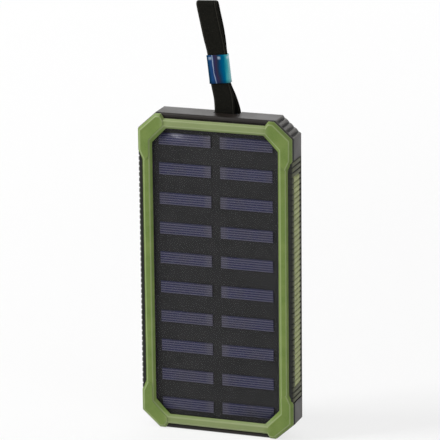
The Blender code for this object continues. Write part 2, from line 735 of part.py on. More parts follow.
def make_grips():
    crest = HALF_WIDTH - GRIP_SET_BACK
    root = crest - GRIP_RIB_HEIGHT
    heel = HALF_WIDTH - GRIP_POCKET + CLOSE_GAP
    toe = HALF_WIDTH - RAIL_INSET + CLOSE_GAP
    front, back = RAIL_FRONT + RAIL_BEVEL, FRONT + GRIP_BACK - CLOSE_GAP
    half = GRIP_HALF - CLOSE_GAP
    window_half = GRIP_HALF - GRIP_END_BAND
    window_front, window_back = front + GRIP_FRONT_BAND, back - GRIP_BACK_BAND
    for side, name in ((-1, "left"), (1, "right")):
        trim = part(f"grip_trim_{name}", prism(comb(side, toe, root, crest, half), front, back), RUBBER)
        low_x, high_x = sorted((0.0, side * heel))
        heel_cut = box((low_x, SHELL_FRONT - CLOSE_GAP, 0.0), (high_x, BACK, BODY_HEIGHT))
        boolean(trim, cutter(f"grip_heel_{name}", heel_cut))
        low_x, high_x = sorted((0.0, side * (crest + WALL)))
        window = box(
            (low_x, window_front, MIDDLE_Z - window_half), (high_x, window_back, MIDDLE_Z + window_half),
        )
        boolean(trim, cutter(f"grip_window_{name}", window))
        edge = [
            (side * (crest - GRIP_EDGE_CHAMFER), front - WALL), (side * (crest - GRIP_EDGE_CHAMFER), front),
            (side * crest, front + GRIP_EDGE_CHAMFER), (side * (crest + WALL), front + GRIP_EDGE_CHAMFER),
            (side * (crest + WALL), front - WALL),
        ]
        boolean(trim, cutter(f"grip_edge_{name}", prism(edge, 0.0, BODY_HEIGHT, axis="z")))
        for up, end in ((-1, "bottom"), (1, "top")):
            outline = [(side * x, MIDDLE_Z + up * z) for x, z in pad_corner(-CLOSE_GAP, 0.0, -CLOSE_GAP * 2)]
            boolean(trim, cutter(f"grip_{end}_end_{name}", prism(outline, FRONT, BEZEL_BACK + CLOSE_GAP)))
        insert = comb(side, heel, root, crest, window_half - CLOSE_GAP)
        part(f"grip_insert_{name}", prism(insert, window_front + CLOSE_GAP, window_back - CLOSE_GAP), GREEN_RUBBER)


def smooth_path(points, height):
    """The value at this height on a smooth curve through the points."""
    for i in range(len(points) - 1):
        (z0, x0), (z1, x1) = points[i], points[i + 1]
        if height <= z1 or i == len(points) - 2:
            break
    before = points[max(i - 1, 0)]
    after = points[min(i + 2, len(points) - 1)]
    slope_in = (x1 - before[1]) / (z1 - before[0])
    slope_out = (after[1] - x0) / (after[0] - z0)
    span = z1 - z0
    t = (height - z0) / span
    return (
        (2 * t**3 - 3 * t**2 + 1) * x0 + (t**3 - 2 * t**2 + t) * span * slope_in
        + (-2 * t**3 + 3 * t**2) * x1 + (t**3 - t**2) * span * slope_out
    )


def ease(t):
    t = min(max(t, 0.0), 1.0)
    return t * t * (3 - 2 * t)


def strand_offset(rise):
    """How far each strand lies from the loop's middle plane, at this height above the bar."""
    pressed = (STRAP_THICKNESS + CLOSE_GAP) / 2
    if rise < FERRULE_LOW:
        return STRAP_RADIUS + (pressed - STRAP_RADIUS) * ease(rise / FERRULE_LOW)
    above = rise - FERRULE_LOW - FERRULE_HEIGHT
    return pressed + (LOOP_HALF_GAP - pressed) * ease(above / FERRULE_HEIGHT)


def strap_path():
    """Points (depth from the bar, height above it) once round the doubled strap, from the front strand's foot."""
    fold = STRAP_RISE - STRAP_THICKNESS / 2 - LOOP_HALF_GAP
    steps = 18
    up = [(-strand_offset(fold * i / steps), fold * i / steps) for i in range(steps + 1)]
    over = [math.pi * i / 8 for i in range(1, 8)]
    top = [(-LOOP_HALF_GAP * math.cos(a), fold + LOOP_HALF_GAP * math.sin(a)) for a in over]
    down = [(-depth, rise) for depth, rise in reversed(up)]
    under = [(STRAP_RADIUS * math.cos(a), -STRAP_RADIUS * math.sin(a)) for a in over]
    return up + top + down + under


def make_strap():
    path = strap_path()
    lean = STRAP_LEAN + STRAP_LEAN_TOP
    form = bmesh.new()
    rings = []
    for i, (depth, rise) in enumerate(path):
        before, after = path[i - 1], path[(i + 1) % len(path)]
        run = Vector((after[0] - before[0], after[1] - before[1])).normalized()
        normal = Vector((0.0, run.y, -run.x)) * STRAP_THICKNESS / 2
        step = STRAP_THICKNESS
        tilt = (smooth_path(lean, rise - step) - smooth_path(lean, rise + step)) / (2 * step)
        across = Vector((1.0, 0.0, tilt * (1 - STRAP_FOLD_LEVEL * ease((rise - step) / STRAP_RISE)))).normalized()
        in_ferrule = ease((rise - FERRULE_LOW / 2) / (FERRULE_LOW / 2))
        in_ferrule *= 1 - ease((rise - FERRULE_LOW - FERRULE_HEIGHT) / (FERRULE_LOW / 2))
        width = STRAP_WIDTH + (STRAP_GATHERED - STRAP_WIDTH) * in_ferrule
        apart = STRAND_SPREAD / 2 * depth / STRAP_RADIUS * (1 - ease(rise / FERRULE_LOW))
        middle = Vector((smooth_path(lean, rise) + apart, BAR_Y + depth, BAR_Z + rise))
        half = across * width / 2
        corners = (middle - half - normal, middle + half - normal, middle + half + normal, middle - half + normal)
        rings.append([form.verts.new(corner) for corner in corners])
    for i, ring in enumerate(rings):
        other = rings[(i + 1) % len(rings)]
        for k in range(4):
            form.faces.new((ring[k - 1], ring[k], other[k], other[k - 1]))
    return smooth(part("lanyard_strap", form, WEBBING))


def make_ferrule():
    inner_width = STRAP_GATHERED + SEAT_GAP
    inner_depth = STRAP_THICKNESS * 2 + CLOSE_GAP * 3
    outer_width, outer_depth = inner_width + FERRULE_WALL * 2, inner_depth + FERRULE_WALL * 2
    half = FERRULE_HEIGHT / 2
    inner = rounded(0.0, 0.0, inner_width, inner_depth, 4, CLOSE_GAP)
    outer = rounded(0.0, 0.0, outer_width, outer_depth, 4, CLOSE_GAP + FERRULE_WALL)
    form = loft([(outer, -half), (outer, half), (inner, half), (inner, -half)], axis="z", closed=True)
    lean = STRAP_LEAN + STRAP_LEAN_TOP
    low, high = FERRULE_LOW, FERRULE_LOW + FERRULE_HEIGHT
    low_x, high_x = smooth_path(lean, low), smooth_path(lean, high)
    turn = Matrix.Rotation(math.atan2(high_x - low_x, high - low), 4, "Y")
    middle = Matrix.Translation(((low_x + high_x) / 2, BAR_Y, BAR_Z + (low + high) / 2))
    bmesh.ops.transform(form, matrix=middle @ turn, verts=form.verts)
    return smooth(part("lanyard_ferrule", form, BLUE_METAL))


def make_bar():
    reach = NOTCH_WIDTH / 2 + BAR_SEAT
    left, right = NOTCH_CENTRE - reach, NOTCH_CENTRE + reach
    return smooth(part("lanyard_bar", rod((left, BAR_Y, BAR_Z), (right, BAR_Y, BAR_Z), BAR_RADIUS), STEEL))


def make_flap():
    """Silicone flap: a plate with a round back edge, two pins at its ends and a lug for each USB port."""
    low, high = FLAP_RECESS, FLAP_RECESS + FLAP_THICKNESS
    radius = FLAP_THICKNESS / 2
    round_edge = [
        (FLAP_HINGE_Y + radius * math.sin(a), FLAP_HINGE_Z - radius * math.cos(a))
        for a in (math.pi * i / 8 for i in range(9))
    ]
    outline = [(FRONT + FLAP_FRONT, low), *round_edge, (FRONT + FLAP_FRONT, high)]
    flap = part("port_cover", prism(outline, FLAP_LEFT, FLAP_RIGHT, axis="x"), RUBBER)
    left, right = FLAP_LEFT - FLAP_PIN_LENGTH, FLAP_RIGHT + FLAP_PIN_LENGTH
    pins = rod((left, FLAP_HINGE_Y, FLAP_HINGE_Z), (right, FLAP_HINGE_Y, FLAP_HINGE_Z), FLAP_PIN_RADIUS, sides=10)
    boolean(flap, cutter("flap_pins", pins), "UNION")
    lugs = bmesh.new()
    middle = USB_BACK - USB_HEIGHT / 2
    for centre in USB_CENTRES:
        half = USB_WIDTH / 2 - USB_SHEET - SEAT_GAP * 3
        near, far = middle - USB_HEIGHT / 4, middle + USB_HEIGHT / 8
        add_box(lugs, (centre - half, near, high - FLAP_THICKNESS / 2), (centre + half, far, high + FLAP_LUG))
    return boolean(flap, cutter("flap_lugs", lugs), "UNION")


def port_shell(centre, width, height, length):
    """A folded steel socket, closed at its far end, with its mouth down."""
    middle = USB_BACK - height / 2
    outer = rectangle(centre, middle, width, height)
    inner = rectangle(centre, middle, width - USB_SHEET * 2, height - USB_SHEET * 2)
    high = USB_MOUTH + length
    return loft([(inner, high - USB_SHEET), (inner, USB_MOUTH), (outer, USB_MOUTH), (outer, high)], axis="z")


def port_tongue(centre, width, height, length, tongue_width, tongue_thickness):
    """The contact tongue and the insulator behind it."""
    middle = USB_BACK - height / 2
    gap = (USB_SHEET + CLOSE_GAP) * 2
    high = USB_MOUTH + length - USB_SHEET - CLOSE_GAP
    root = high - length / 5
    low = USB_MOUTH + TONGUE_SETBACK
    block = rectangle(centre, middle, width - gap, height - gap)
    tongue = rectangle(centre, middle, tongue_width, tongue_thickness)
    return loft([(tongue, low), (tongue, root), (block, root), (block, high)], axis="z")


def make_ports():
    for i, centre in enumerate(USB_CENTRES, 1):
        part(f"usb_a_shell_{i}", port_shell(centre, USB_WIDTH, USB_HEIGHT, USB_LENGTH), STEEL)
        tongue = port_tongue(centre, USB_WIDTH, USB_HEIGHT, USB_LENGTH, TONGUE_WIDTH, TONGUE_THICKNESS)
        part(f"usb_a_tongue_{i}", tongue, BLUE_PLASTIC)
    part("micro_usb_shell", port_shell(MICRO_CENTRE, MICRO_WIDTH, MICRO_HEIGHT, MICRO_LENGTH), STEEL)
    tongue = port_tongue(
        MICRO_CENTRE, MICRO_WIDTH, MICRO_HEIGHT, MICRO_LENGTH, MICRO_WIDTH / 2, MICRO_HEIGHT / 4,
    )
    part("micro_usb_tongue", tongue, MATT_BLACK)


def make_board():
    slope = PCB_TAB - PCB_HALF_WIDTH
    tab_top = SCREW_FOOT - SCREW_BOSS_RADIUS - WALL
    outline = [
        (-PCB_HALF_WIDTH, PCB_LOW), (PCB_HALF_WIDTH, PCB_LOW), (PCB_HALF_WIDTH, PCB_HIGH),
        (-PCB_HALF_WIDTH, PCB_HIGH), (-PCB_HALF_WIDTH, tab_top), (-PCB_TAB, tab_top), (-PCB_TAB, PCB_LOW + slope),
    ]
    part("main_board", prism(outline, PCB_FRONT, PCB_BACK), PCB_GREEN)
    row = PCB_HIGH - CHIP_ROW_DROP
    on_board("controller_chip", -PCB_HALF_WIDTH * 0.62, row, CHIP_SIZE, CHIP_HEIGHT, MATT_BLACK)
    on_board("boost_chip", PCB_HALF_WIDTH * 0.22, row, CHIP_SIZE * 0.8, CHIP_HEIGHT, MATT_BLACK)
    inductor = on_board("power_inductor", -PCB_HALF_WIDTH * 0.18, row, INDUCTOR_SIZE, INDUCTOR_HEIGHT, FERRITE)
    bevel(inductor, INDUCTOR_SIZE * 0.12)
    for name, x in (("input_capacitor", PCB_HALF_WIDTH * 0.53), ("output_capacitor", PCB_HALF_WIDTH * 0.77)):
        y = PCB_FRONT - CLOSE_GAP
        can = rod((x, y, row), (x, y - CAPACITOR_HEIGHT, row), CAPACITOR_RADIUS, sides=20)
        smooth(bevel(part(name, can, STEEL), CAPACITOR_RADIUS * 0.12, 1))


def on_board(name, x, z, size, height, material):
    back = PCB_FRONT - CLOSE_GAP
    return part(name, box((x - size / 2, back - height, z - size / 2), (x + size / 2, back, z + size / 2)), material)


def make_indicators():
    """Five light pipes on one bar, and the five light-emitting diodes behind them."""
    y = BUTTON_Y - STEM_RADIUS
    places = led_places()
    bar_low = FLOOR_OF_PORTS + PORT_WALL
    bar_high = bar_low + WALL * 0.6
    left, right = places[0] - LED_PITCH / 2, places[-1] + LED_PITCH / 2
    bar = box((left, y - LED_PIPE_RADIUS * 1.5, bar_low), (right, USB_BACK, bar_high))
    guide = part("light_guide", bar, LIGHT_PIPE)
    pipes = bmesh.new()
    for x in places:
        add_rod(pipes, (x, y, FLAP_RECESS / 2), (x, y, (bar_low + bar_high) / 2), LED_PIPE_RADIUS, sides=12)
    boolean(guide, cutter("light_pipes", pipes), "UNION")
    for i, x in enumerate(places, 1):
        half = LED_PITCH * 0.35
        low = (x - half, USB_BACK - half * 2, bar_high + SEAT_GAP)
        part(f"charge_led_{i}", box(low, (x + half, USB_BACK, bar_high + SEAT_GAP + half * 2)), LED_WHITE)


def make_button():
    """Power button with a flange behind the wall and a stem that meets the switch plunger."""
    face = -HALF_WIDTH + BUTTON_RECESS
    inner_wall = -HALF_WIDTH + WALL
    flange_near = inner_wall + SEAT_GAP
    flange_far = flange_near + BUTTON_FLANGE
    cap = rounded(BUTTON_Y, BUTTON_Z, BUTTON_HEIGHT, BUTTON_LENGTH)
    small = rounded(BUTTON_Y, BUTTON_Z, BUTTON_HEIGHT - SEAT_GAP * 2, BUTTON_LENGTH - SEAT_GAP * 2)
    wide = rounded(BUTTON_Y, BUTTON_Z, BUTTON_HEIGHT + WALL, BUTTON_LENGTH + WALL)
    stem = rounded(BUTTON_Y, BUTTON_Z, STEM_RADIUS * 2, STEM_RADIUS * 2.4)
    stations = [
        (small, face), (cap, face + SEAT_GAP), (cap, flange_near), (wide, flange_near), (wide, flange_far),
        (stem, flange_far), (stem, stem_end()),
    ]
    button = part("power_button", loft(stations, axis="x"), RUBBER)
    switch_near = stem_end() + SEAT_GAP + STEM_RADIUS
    switch_far = switch_near + SWITCH_DEPTH
    half = SWITCH_WIDTH / 2
    low = (switch_near, BUTTON_Y - STEM_RADIUS * 1.9, BUTTON_Z - half)
    switch = part("tact_switch", box(low, (switch_far, USB_BACK, BUTTON_Z + half)), MATT_BLACK)
    bore_end = switch_near + STEM_RADIUS * 1.6
    bore = rod(
        (switch_near - WALL, BUTTON_Y, BUTTON_Z), (bore_end, BUTTON_Y, BUTTON_Z), STEM_RADIUS + CLOSE_GAP,
    )
    boolean(switch, cutter("switch_bore", bore))
    plunger_end = bore_end - BUTTON_TRAVEL - CLOSE_GAP
    start, end = (stem_end() + SEAT_GAP, BUTTON_Y, BUTTON_Z), (plunger_end, BUTTON_Y, BUTTON_Z)
    plunger = part("switch_plunger", rod(start, end, STEM_RADIUS), BRASS)
    return button, smooth(plunger)



def stem_end():
    return -PCB_TAB - STEM_RADIUS * 2


def make_batteries():
    for side, name in ((-1, "left"), (1, "right")):
        near, far = sorted((side * CELL_PACK_HALF_GAP, side * (CELL_PACK_HALF_GAP + CELL_PACK_WIDTH)))
        low = (near, CELL_PACK_FRONT, CELL_PACK_LOW)
        high = (far, CELL_PACK_FRONT + CELL_PACK_THICKNESS, CELL_PACK_LOW + CELL_PACK_HEIGHT)
        pack = part(f"battery_{name}", box(low, high), FOIL)
        bevel(pack, 0.0015, 2)
        inset = WALL
        foam_low = (near + inset, TRAY_BACK + SEAT_GAP, CELL_PACK_LOW + inset)
        foam_high = (far - inset, TRAY_BACK + SEAT_GAP + FOAM_THICKNESS, CELL_PACK_LOW + CELL_PACK_HEIGHT - inset)
        part(f"foam_pad_{name}", box(foam_low, foam_high), FOAM)


def make_lamp():
    """Lens in the back wall, reflector with a cup for each diode, and the lamp's board in front of it."""
    flange_back = CAVITY_BACK - SEAT_GAP
    flange_front = flange_back - WALL / 2
    face = rounded(0.0, LAMP_Z, LAMP_WIDTH, LAMP_HEIGHT)
    eased = rounded(0.0, LAMP_Z, LAMP_WIDTH - SEAT_GAP * 2, LAMP_HEIGHT - SEAT_GAP * 2)
    flange = rounded(0.0, LAMP_Z, LAMP_WIDTH + WALL, LAMP_HEIGHT + WALL)
    stations = [
        (flange, flange_front), (flange, flange_back), (face, flange_back), (face, BACK - SEAT_GAP * 1.5),
        (eased, BACK - SEAT_GAP / 2),
    ]
    part("lamp_lens", loft(stations), LENS)
    cup_depth = LAMP_LED_SIZE
    reflector_back = flange_front - SEAT_GAP
    reflector_front = reflector_back - cup_depth
    half_width, half_height = (LAMP_WIDTH + WALL) / 2, (LAMP_HEIGHT + WALL) / 2
    low, high = LAMP_Z - half_height, LAMP_Z + half_height
    reflector = part(
        "lamp_reflector", box((-half_width, reflector_front, low), (half_width, reflector_back, high)), CHROME,
    )
    cups = bmesh.new()
    wide, narrow = LAMP_LED_PITCH * 0.45, LAMP_LED_SIZE * 0.78
    slope = (wide - narrow) / cup_depth
    for x in lamp_led_places():
        add_rod(
            cups, (x, reflector_front - WALL, LAMP_Z), (x, reflector_back + WALL, LAMP_Z),
            narrow - slope * WALL, wide + slope * WALL * 0.1, sides=20,
        )
    boolean(reflector, cutter("reflector_cups", cups))
    board_back = reflector_front - SEAT_GAP
    board = box((-half_width, board_back - BOARD_THICKNESS, low), (half_width, board_back, high))
    part("lamp_board", board, PCB_WHITE)
    half = LAMP_LED_SIZE / 2
    for i, x in enumerate(lamp_led_places(), 1):
        front = board_back + CLOSE_GAP
        led = box((x - half, front, LAMP_Z - half), (x + half, front + SEAT_GAP * 3, LAMP_Z + half))
        part(f"lamp_led_{i}", led, LED_YELLOW)
    return board_back - BOARD_THICKNESS


def lamp_led_places():
    return [LAMP_LED_PITCH * (i - (LAMP_LED_COUNT - 1) / 2) for i in range(LAMP_LED_COUNT)]


def make_screws():
    """Countersunk case screws, driven in from the back through the shell's bosses into the tray's posts."""
    head_back = BACK - SEAT_GAP
    head_front = BACK - WALL + SEAT_GAP
    for i, (x, z) in enumerate(SCREW_PLACES, 1):
        profile = [
            (SCREW_HEAD_RADIUS, head_back), (SCREW_HEAD_RADIUS, head_front), (SCREW_SHANK_RADIUS, head_front),
            (SCREW_SHANK_RADIUS, head_front - SCREW_LENGTH),
        ]
        ring = [(math.cos(2 * math.pi * k / 16), math.sin(2 * math.pi * k / 16)) for k in range(16)]
        stations = [([(x + r * a, z + r * b) for a, b in ring], y) for r, y in profile]
        screw = part(f"case_screw_{i}", loft(stations), STEEL)
        slot = bmesh.new()
        arm, blade = SCREW_HEAD_RADIUS * 0.6, SCREW_HEAD_RADIUS * 0.16
        add_box(slot, (x - arm, head_back - blade * 2, z - blade), (x + arm, BACK, z + blade))
        other = box((x - blade, head_back - blade * 2, z - arm), (x + blade, BACK, z + arm))
        cross = boolean(cutter(f"cross_slot_{i}", slot), cutter(f"cross_arm_{i}", other), "UNION")
        boolean(screw, cross)
        smooth(screw)


def make_lead(name, points, material):
    """An insulated wire as a smooth tube through the points of its route."""
    curve = bpy.data.curves.new(name, "CURVE")
    curve.dimensions = "3D"
    curve.bevel_depth = LEAD_RADIUS
    curve.bevel_resolution = 1
    curve.use_fill_caps = True
    route = rounded_route([Vector(point) for point in points])
    spline = curve.splines.new("POLY")
    spline.points.add(len(route) - 1)
    for spot, point in zip(spline.points, route):
        spot.co = (*point, 1.0)
    lead = bpy.data.objects.new(name, curve)
    PARTS.objects.link(lead)
    curve.materials.append(material)
    return lead


def rounded_route(points):
    """Each inner corner replaced by a short curve."""
    route = [points[0]]
    for before, corner, after in zip(points, points[1:], points[2:]):
        reach = min(LEAD_RADIUS * 4, (corner - before).length * 0.45, (after - corner).length * 0.45)
        start = corner + (before - corner).normalized() * reach
        end = corner + (after - corner).normalized() * reach
        for t in (0.0, 0.25, 0.5, 0.75, 1.0):
            route.append(start.lerp(corner, t).lerp(corner.lerp(end, t), t))
    return route + [points[-1]]


def make_leads(lamp_front):
    space = LEAD_RADIUS * 2 + SEAT_GAP
    board_face = PCB_FRONT - SEAT_GAP
    pack_middle = CELL_PACK_FRONT + CELL_PACK_THICKNESS / 2
    for shift, name, material in ((-1, "red", RED_WIRE), (1, "black", BLACK_WIRE)):
        depth = pack_middle + shift * space
        foot = PCB_HIGH - space * 1.2
        lamp_x = shift * space
        make_lead(
            f"lamp_lead_{name}",
            [
                (lamp_x, lamp_front - SEAT_GAP, LAMP_Z), (lamp_x, lamp_front - space, LAMP_Z),
                (lamp_x, lamp_front - space, LAMP_Z - LAMP_HEIGHT / 2), (0.0, depth, CELL_PACK_LOW + CELL_PACK_HEIGHT),
                (0.0, depth, CELL_PACK_LOW), (shift * 2 * space, board_face - space, PCB_HIGH),
                (shift * 2 * space, board_face - space, foot), (shift * 2 * space, board_face, foot),
            ],
            material,
        )
        panel_x = shift * space * 0.9
        make_lead(
            f"panel_lead_{name}",
            [
                (panel_x, BOARD_BACK + SEAT_GAP, PCB_HIGH), (panel_x, TRAY_BACK + space, PCB_HIGH),
                (panel_x, TRAY_BACK + space, PCB_HIGH - space * 3), (panel_x * 3.4, board_face, PCB_HIGH - space * 3),
            ],
            material,
        )
        pack_x = shift * (CELL_PACK_HALF_GAP + CELL_PACK_WIDTH / 2)
        tab_depth = board_face - space * 2
        make_lead(
            f"battery_lead_{name}",
            [
                (pack_x, tab_depth, CELL_PACK_LOW - SEAT_GAP), (pack_x, tab_depth, PCB_HIGH - space),
                (pack_x, board_face, PCB_HIGH - space),
            ],
            material,
        )


def put_on_axis(name, point, pieces):
    """Gives a moving body's pieces their origin on its axis, under an empty that marks it."""
    axis = bpy.data.objects.new(name, None)
    axis.location = point
    axis.empty_display_size = STRAP_WIDTH
    PARTS.objects.link(axis)
    for piece in pieces:
        piece.data.transform(Matrix.Translation(-Vector(point)))
        piece.parent = axis


GREEN = finish("green_plastic", (0.16, 0.21, 0.06), 0.45)
GREEN_RUBBER = finish("green_rubber", (0.22, 0.26, 0.11), 0.7)
BLACK = finish("black_plastic", (0.02, 0.02, 0.018), 0.35)
MATT_BLACK = finish("matt_black", (0.022, 0.022, 0.024), 0.6)
RUBBER = finish("black_rubber", (0.015, 0.015, 0.014), 0.7)
CLEAR = finish("panel_laminate", (0.03, 0.03, 0.035), 0.12, alpha=0.3)
CELL = finish("solar_cell", (0.05, 0.05, 0.10), 0.3)
WEBBING = finish("black_webbing", (0.012, 0.012, 0.010), 0.9)
BLUE_METAL = finish("anodised_blue", (0.02, 0.10, 0.32), 0.2, 1.0)
STEEL = finish("steel", (0.6, 0.6, 0.6), 0.3, 1.0)
BRASS = finish("brass", (0.7, 0.5, 0.2), 0.35, 1.0)
CHROME = finish("bright_plating", (0.85, 0.85, 0.87), 0.1, 1.0)
BLUE_PLASTIC = finish("blue_plastic", (0.03, 0.10, 0.45), 0.5)
PCB_GREEN = finish("circuit_board", (0.02, 0.15, 0.05), 0.5)
PCB_WHITE = finish("lamp_circuit_board", (0.75, 0.75, 0.72), 0.5)
FERRITE = finish("ferrite", (0.05, 0.05, 0.05), 0.6)
LIGHT_PIPE = finish("light_pipe", (0.8, 0.8, 0.8), 0.3, alpha=0.6)
LED_WHITE = finish("indicator_diode", (0.85, 0.85, 0.8), 0.4)
LED_YELLOW = finish("lamp_diode", (0.85, 0.7, 0.2), 0.4)
FOIL = finish("battery_foil", (0.55, 0.56, 0.58), 0.35, 0.8)
FOAM = finish("grey_foam", (0.3, 0.3, 0.3), 0.95)
LENS = finish("clear_lens", (0.85, 0.87, 0.9), 0.15, alpha=0.5)
RED_WIRE = finish("red_wire", (0.5, 0.02, 0.02), 0.5)
BLACK_WIRE = finish("black_wire", (0.02, 0.02, 0.02), 0.5)

clear_scene()
PARTS = new_collection("solar_phone_charger")
CUTTERS = new_collection("cutters")


def main():
    make_bezel()
    make_shell()
    make_tray()
    make_seal()
    make_panel()
    make_grips()
    make_bar()
    strap = make_strap()
    ferrule = make_ferrule()
    flap = make_flap()
    make_ports()
    make_board()
    make_indicators()
    button, plunger = make_button()
    make_batteries()
    lamp_front = make_lamp()
    make_screws()
    make_leads(lamp_front)
    put_on_axis("strap_hinge", (0.0, BAR_Y, BAR_Z), [strap, ferrule])
    put_on_axis("flap_hinge", (0.0, FLAP_HINGE_Y, FLAP_HINGE_Z), [flap])
    put_on_axis("button_slide", (-HALF_WIDTH, BUTTON_Y, BUTTON_Z), [button, plunger])


main()
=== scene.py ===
# %% [markdown]
# # Solar phone charger
#
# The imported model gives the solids, their places and their joints. This notebook dresses them: rounder edges,
# ribs that repeat by rule, a woven strap, a lit studio and a camera. Everything is in metres, with Z up and the
# solar panel facing -Y. The origin is under the middle of the body.

# %% Load the frame
import math

import json

import bmesh
import bpy
from mathutils import Matrix, Vector

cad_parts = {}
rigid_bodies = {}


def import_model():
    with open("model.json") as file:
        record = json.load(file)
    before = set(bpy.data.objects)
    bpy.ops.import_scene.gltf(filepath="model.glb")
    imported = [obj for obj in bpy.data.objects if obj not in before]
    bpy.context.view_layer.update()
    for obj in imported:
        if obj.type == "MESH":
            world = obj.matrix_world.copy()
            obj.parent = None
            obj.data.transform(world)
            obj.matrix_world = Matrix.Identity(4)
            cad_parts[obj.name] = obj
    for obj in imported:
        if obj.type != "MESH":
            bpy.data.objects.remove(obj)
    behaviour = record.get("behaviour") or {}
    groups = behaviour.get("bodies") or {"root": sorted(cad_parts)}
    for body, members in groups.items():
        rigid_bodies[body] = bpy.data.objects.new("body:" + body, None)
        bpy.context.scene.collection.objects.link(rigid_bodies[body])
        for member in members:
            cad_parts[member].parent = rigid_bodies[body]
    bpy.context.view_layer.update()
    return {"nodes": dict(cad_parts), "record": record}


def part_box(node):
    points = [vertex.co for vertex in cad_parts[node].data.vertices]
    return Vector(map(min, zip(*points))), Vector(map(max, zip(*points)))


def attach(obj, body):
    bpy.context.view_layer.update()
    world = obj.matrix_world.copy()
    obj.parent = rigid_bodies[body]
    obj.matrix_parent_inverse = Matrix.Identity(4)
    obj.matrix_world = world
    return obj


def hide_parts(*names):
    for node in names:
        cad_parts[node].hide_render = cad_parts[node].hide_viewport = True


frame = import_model()
NODES = frame["nodes"]
MM = 0.001

# %% [markdown]
# ## Sizes
#
# A piece that replaces a solid has to sit where the solid sits, so its sizes are read from the solid's box.
# Only what a box can't tell, such as a bevel or a pitch, is written as a number. CORNER_DEPTH is how far a cut
# corner's face lies from the line through the points where the straight sides begin.

# %% Read the places of the main solids
SHELL_LOW, SHELL_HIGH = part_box("back_shell")
BEZEL_LOW, BEZEL_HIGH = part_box("front_bezel")
FRONT = BEZEL_LOW[1]
HALF_WIDTH = SHELL_HIGH[0]
HEIGHT = SHELL_HIGH[2]
COVER_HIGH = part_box("panel_cover")[1]
COVER_HALF = COVER_HIGH[0]
CORNER_RUN, CORNER_RISE = 8.9 * MM, 8.0 * MM
CORNER_SLANT = math.hypot(CORNER_RUN, CORNER_RISE)
CORNER_DEPTH = CORNER_RUN * CORNER_RISE / CORNER_SLANT
MIDDLE = HEIGHT / 2
PAD_MARGIN = HALF_WIDTH - BEZEL_HIGH[0]
print(f"Body {HALF_WIDTH * 2 / MM:.1f} x {HEIGHT / MM:.1f} mm, front at {FRONT / MM:.2f} mm")

# %% [markdown]
# ## Materials
#
# Each material is a small node graph on Object coordinates, which are metres here, so a noise scale of 1000 makes
# specks about a millimetre wide. Numbers that are the same all over go straight on the shader's own sockets.
# Colours are written as they look on screen, and turned into linear light, which is what Cycles works in.

# %% Helpers for node graphs
def linear(red, green, blue):
    """A colour picked on screen (0 to 255) as the linear values a shader needs."""
    return tuple(
        (c / 12.92 if c <= 0.04045 else ((c + 0.055) / 1.055) ** 2.4) for c in (red / 255, green / 255, blue / 255)
    )


class Graph:
    """A new material, with short calls for adding and linking its nodes."""

    def __init__(self, name, roughness, metallic=0.0, **constants):
        self.material = bpy.data.materials.new(name)
        self.material.use_nodes = True
        self.tree = self.material.node_tree
        self.shader = self.tree.nodes["Principled BSDF"]
        self.shader.inputs["Roughness"].default_value = roughness
        self.shader.inputs["Metallic"].default_value = metallic
        for socket, value in constants.items():
            self.shader.inputs[socket.replace("_", " ")].default_value = value
        self.where = self.add("ShaderNodeTexCoord").outputs["Object"]

    def add(self, kind, inputs=None, **settings):
        made = self.tree.nodes.new(kind)
        for key, value in settings.items():
            setattr(made, key, value)
        for key, value in (inputs or {}).items():
            if isinstance(value, bpy.types.NodeSocket):
                self.tree.links.new(value, made.inputs[key])
            else:
                made.inputs[key].default_value = value
        return made

    def stretch(self, x, y, z, source=None):
        """The object's coordinates scaled along each axis."""
        return self.add("ShaderNodeMapping", {"Vector": source or self.where, "Scale": (x, y, z)}).outputs[0]

    def noise(self, scale, detail=3.0, source=None):
        """Soft random mottling, 0 to 1. Most of its values lie between 0.3 and 0.7."""
        made = self.add("ShaderNodeTexNoise", {"Vector": source or self.where, "Scale": scale, "Detail": detail})
        return made.outputs["Fac"]

    def range(self, value, low, high, new_low, new_high):
        """Maps low..high to new_low..new_high and stops at the ends."""
        made = self.add("ShaderNodeMapRange", {
            "Value": value, "From Min": low, "From Max": high, "To Min": new_low, "To Max": new_high,
        })
        return made.outputs["Result"]

    def math(self, operation, a, b=0.0):
        made = self.add("ShaderNodeMath", {0: a, 1: b}, operation=operation)
        return made.outputs[0]

    def mix(self, share, first, second):
        """Mixes two colours, each a tuple or a socket."""
        made = self.add("ShaderNodeMix", data_type="RGBA")
        made.inputs["Factor"].default_value = 1.0
        for key, value in ((0, share), (6, first), (7, second)):
            if isinstance(value, bpy.types.NodeSocket):
                self.tree.links.new(value, made.inputs[key])
            else:
                made.inputs[key].default_value = (*value, 1.0) if isinstance(value, tuple) else value
        return made.outputs[2]

    def attribute(self, name):
        """A number that the mesh carries, such as how far a point lies along the piece."""
        return self.add("ShaderNodeAttribute", attribute_name=name, attribute_type="GEOMETRY").outputs["Fac"]

    def spot(self):
        """The object coordinates as three separate numbers."""
        return self.add("ShaderNodeSeparateXYZ", {0: self.where}).outputs

    def from_middle(self, height):
        """How far a height lies from the body's middle, above or below."""
        return self.math("ABSOLUTE", self.math("SUBTRACT", height, MIDDLE))

    def colour(self, value):
        self.tree.links.new(value, self.shader.inputs["Base Color"])

    def roughness(self, value):
        self.tree.links.new(value, self.shader.inputs["Roughness"])

    def bump(self, height, strength, distance=0.0001):
        made = self.add("ShaderNodeBump", {"Height": height, "Strength": strength, "Distance": distance})
        self.tree.links.new(made.outputs[0], self.shader.inputs["Normal"])


# %% [markdown]
# Most of the hidden pieces are moulded, cast or plated. One recipe does for all of them: two near colours, a slow
# mottling between them, and a fine grain that shows in the bump and in the gloss. What differs is in the table.

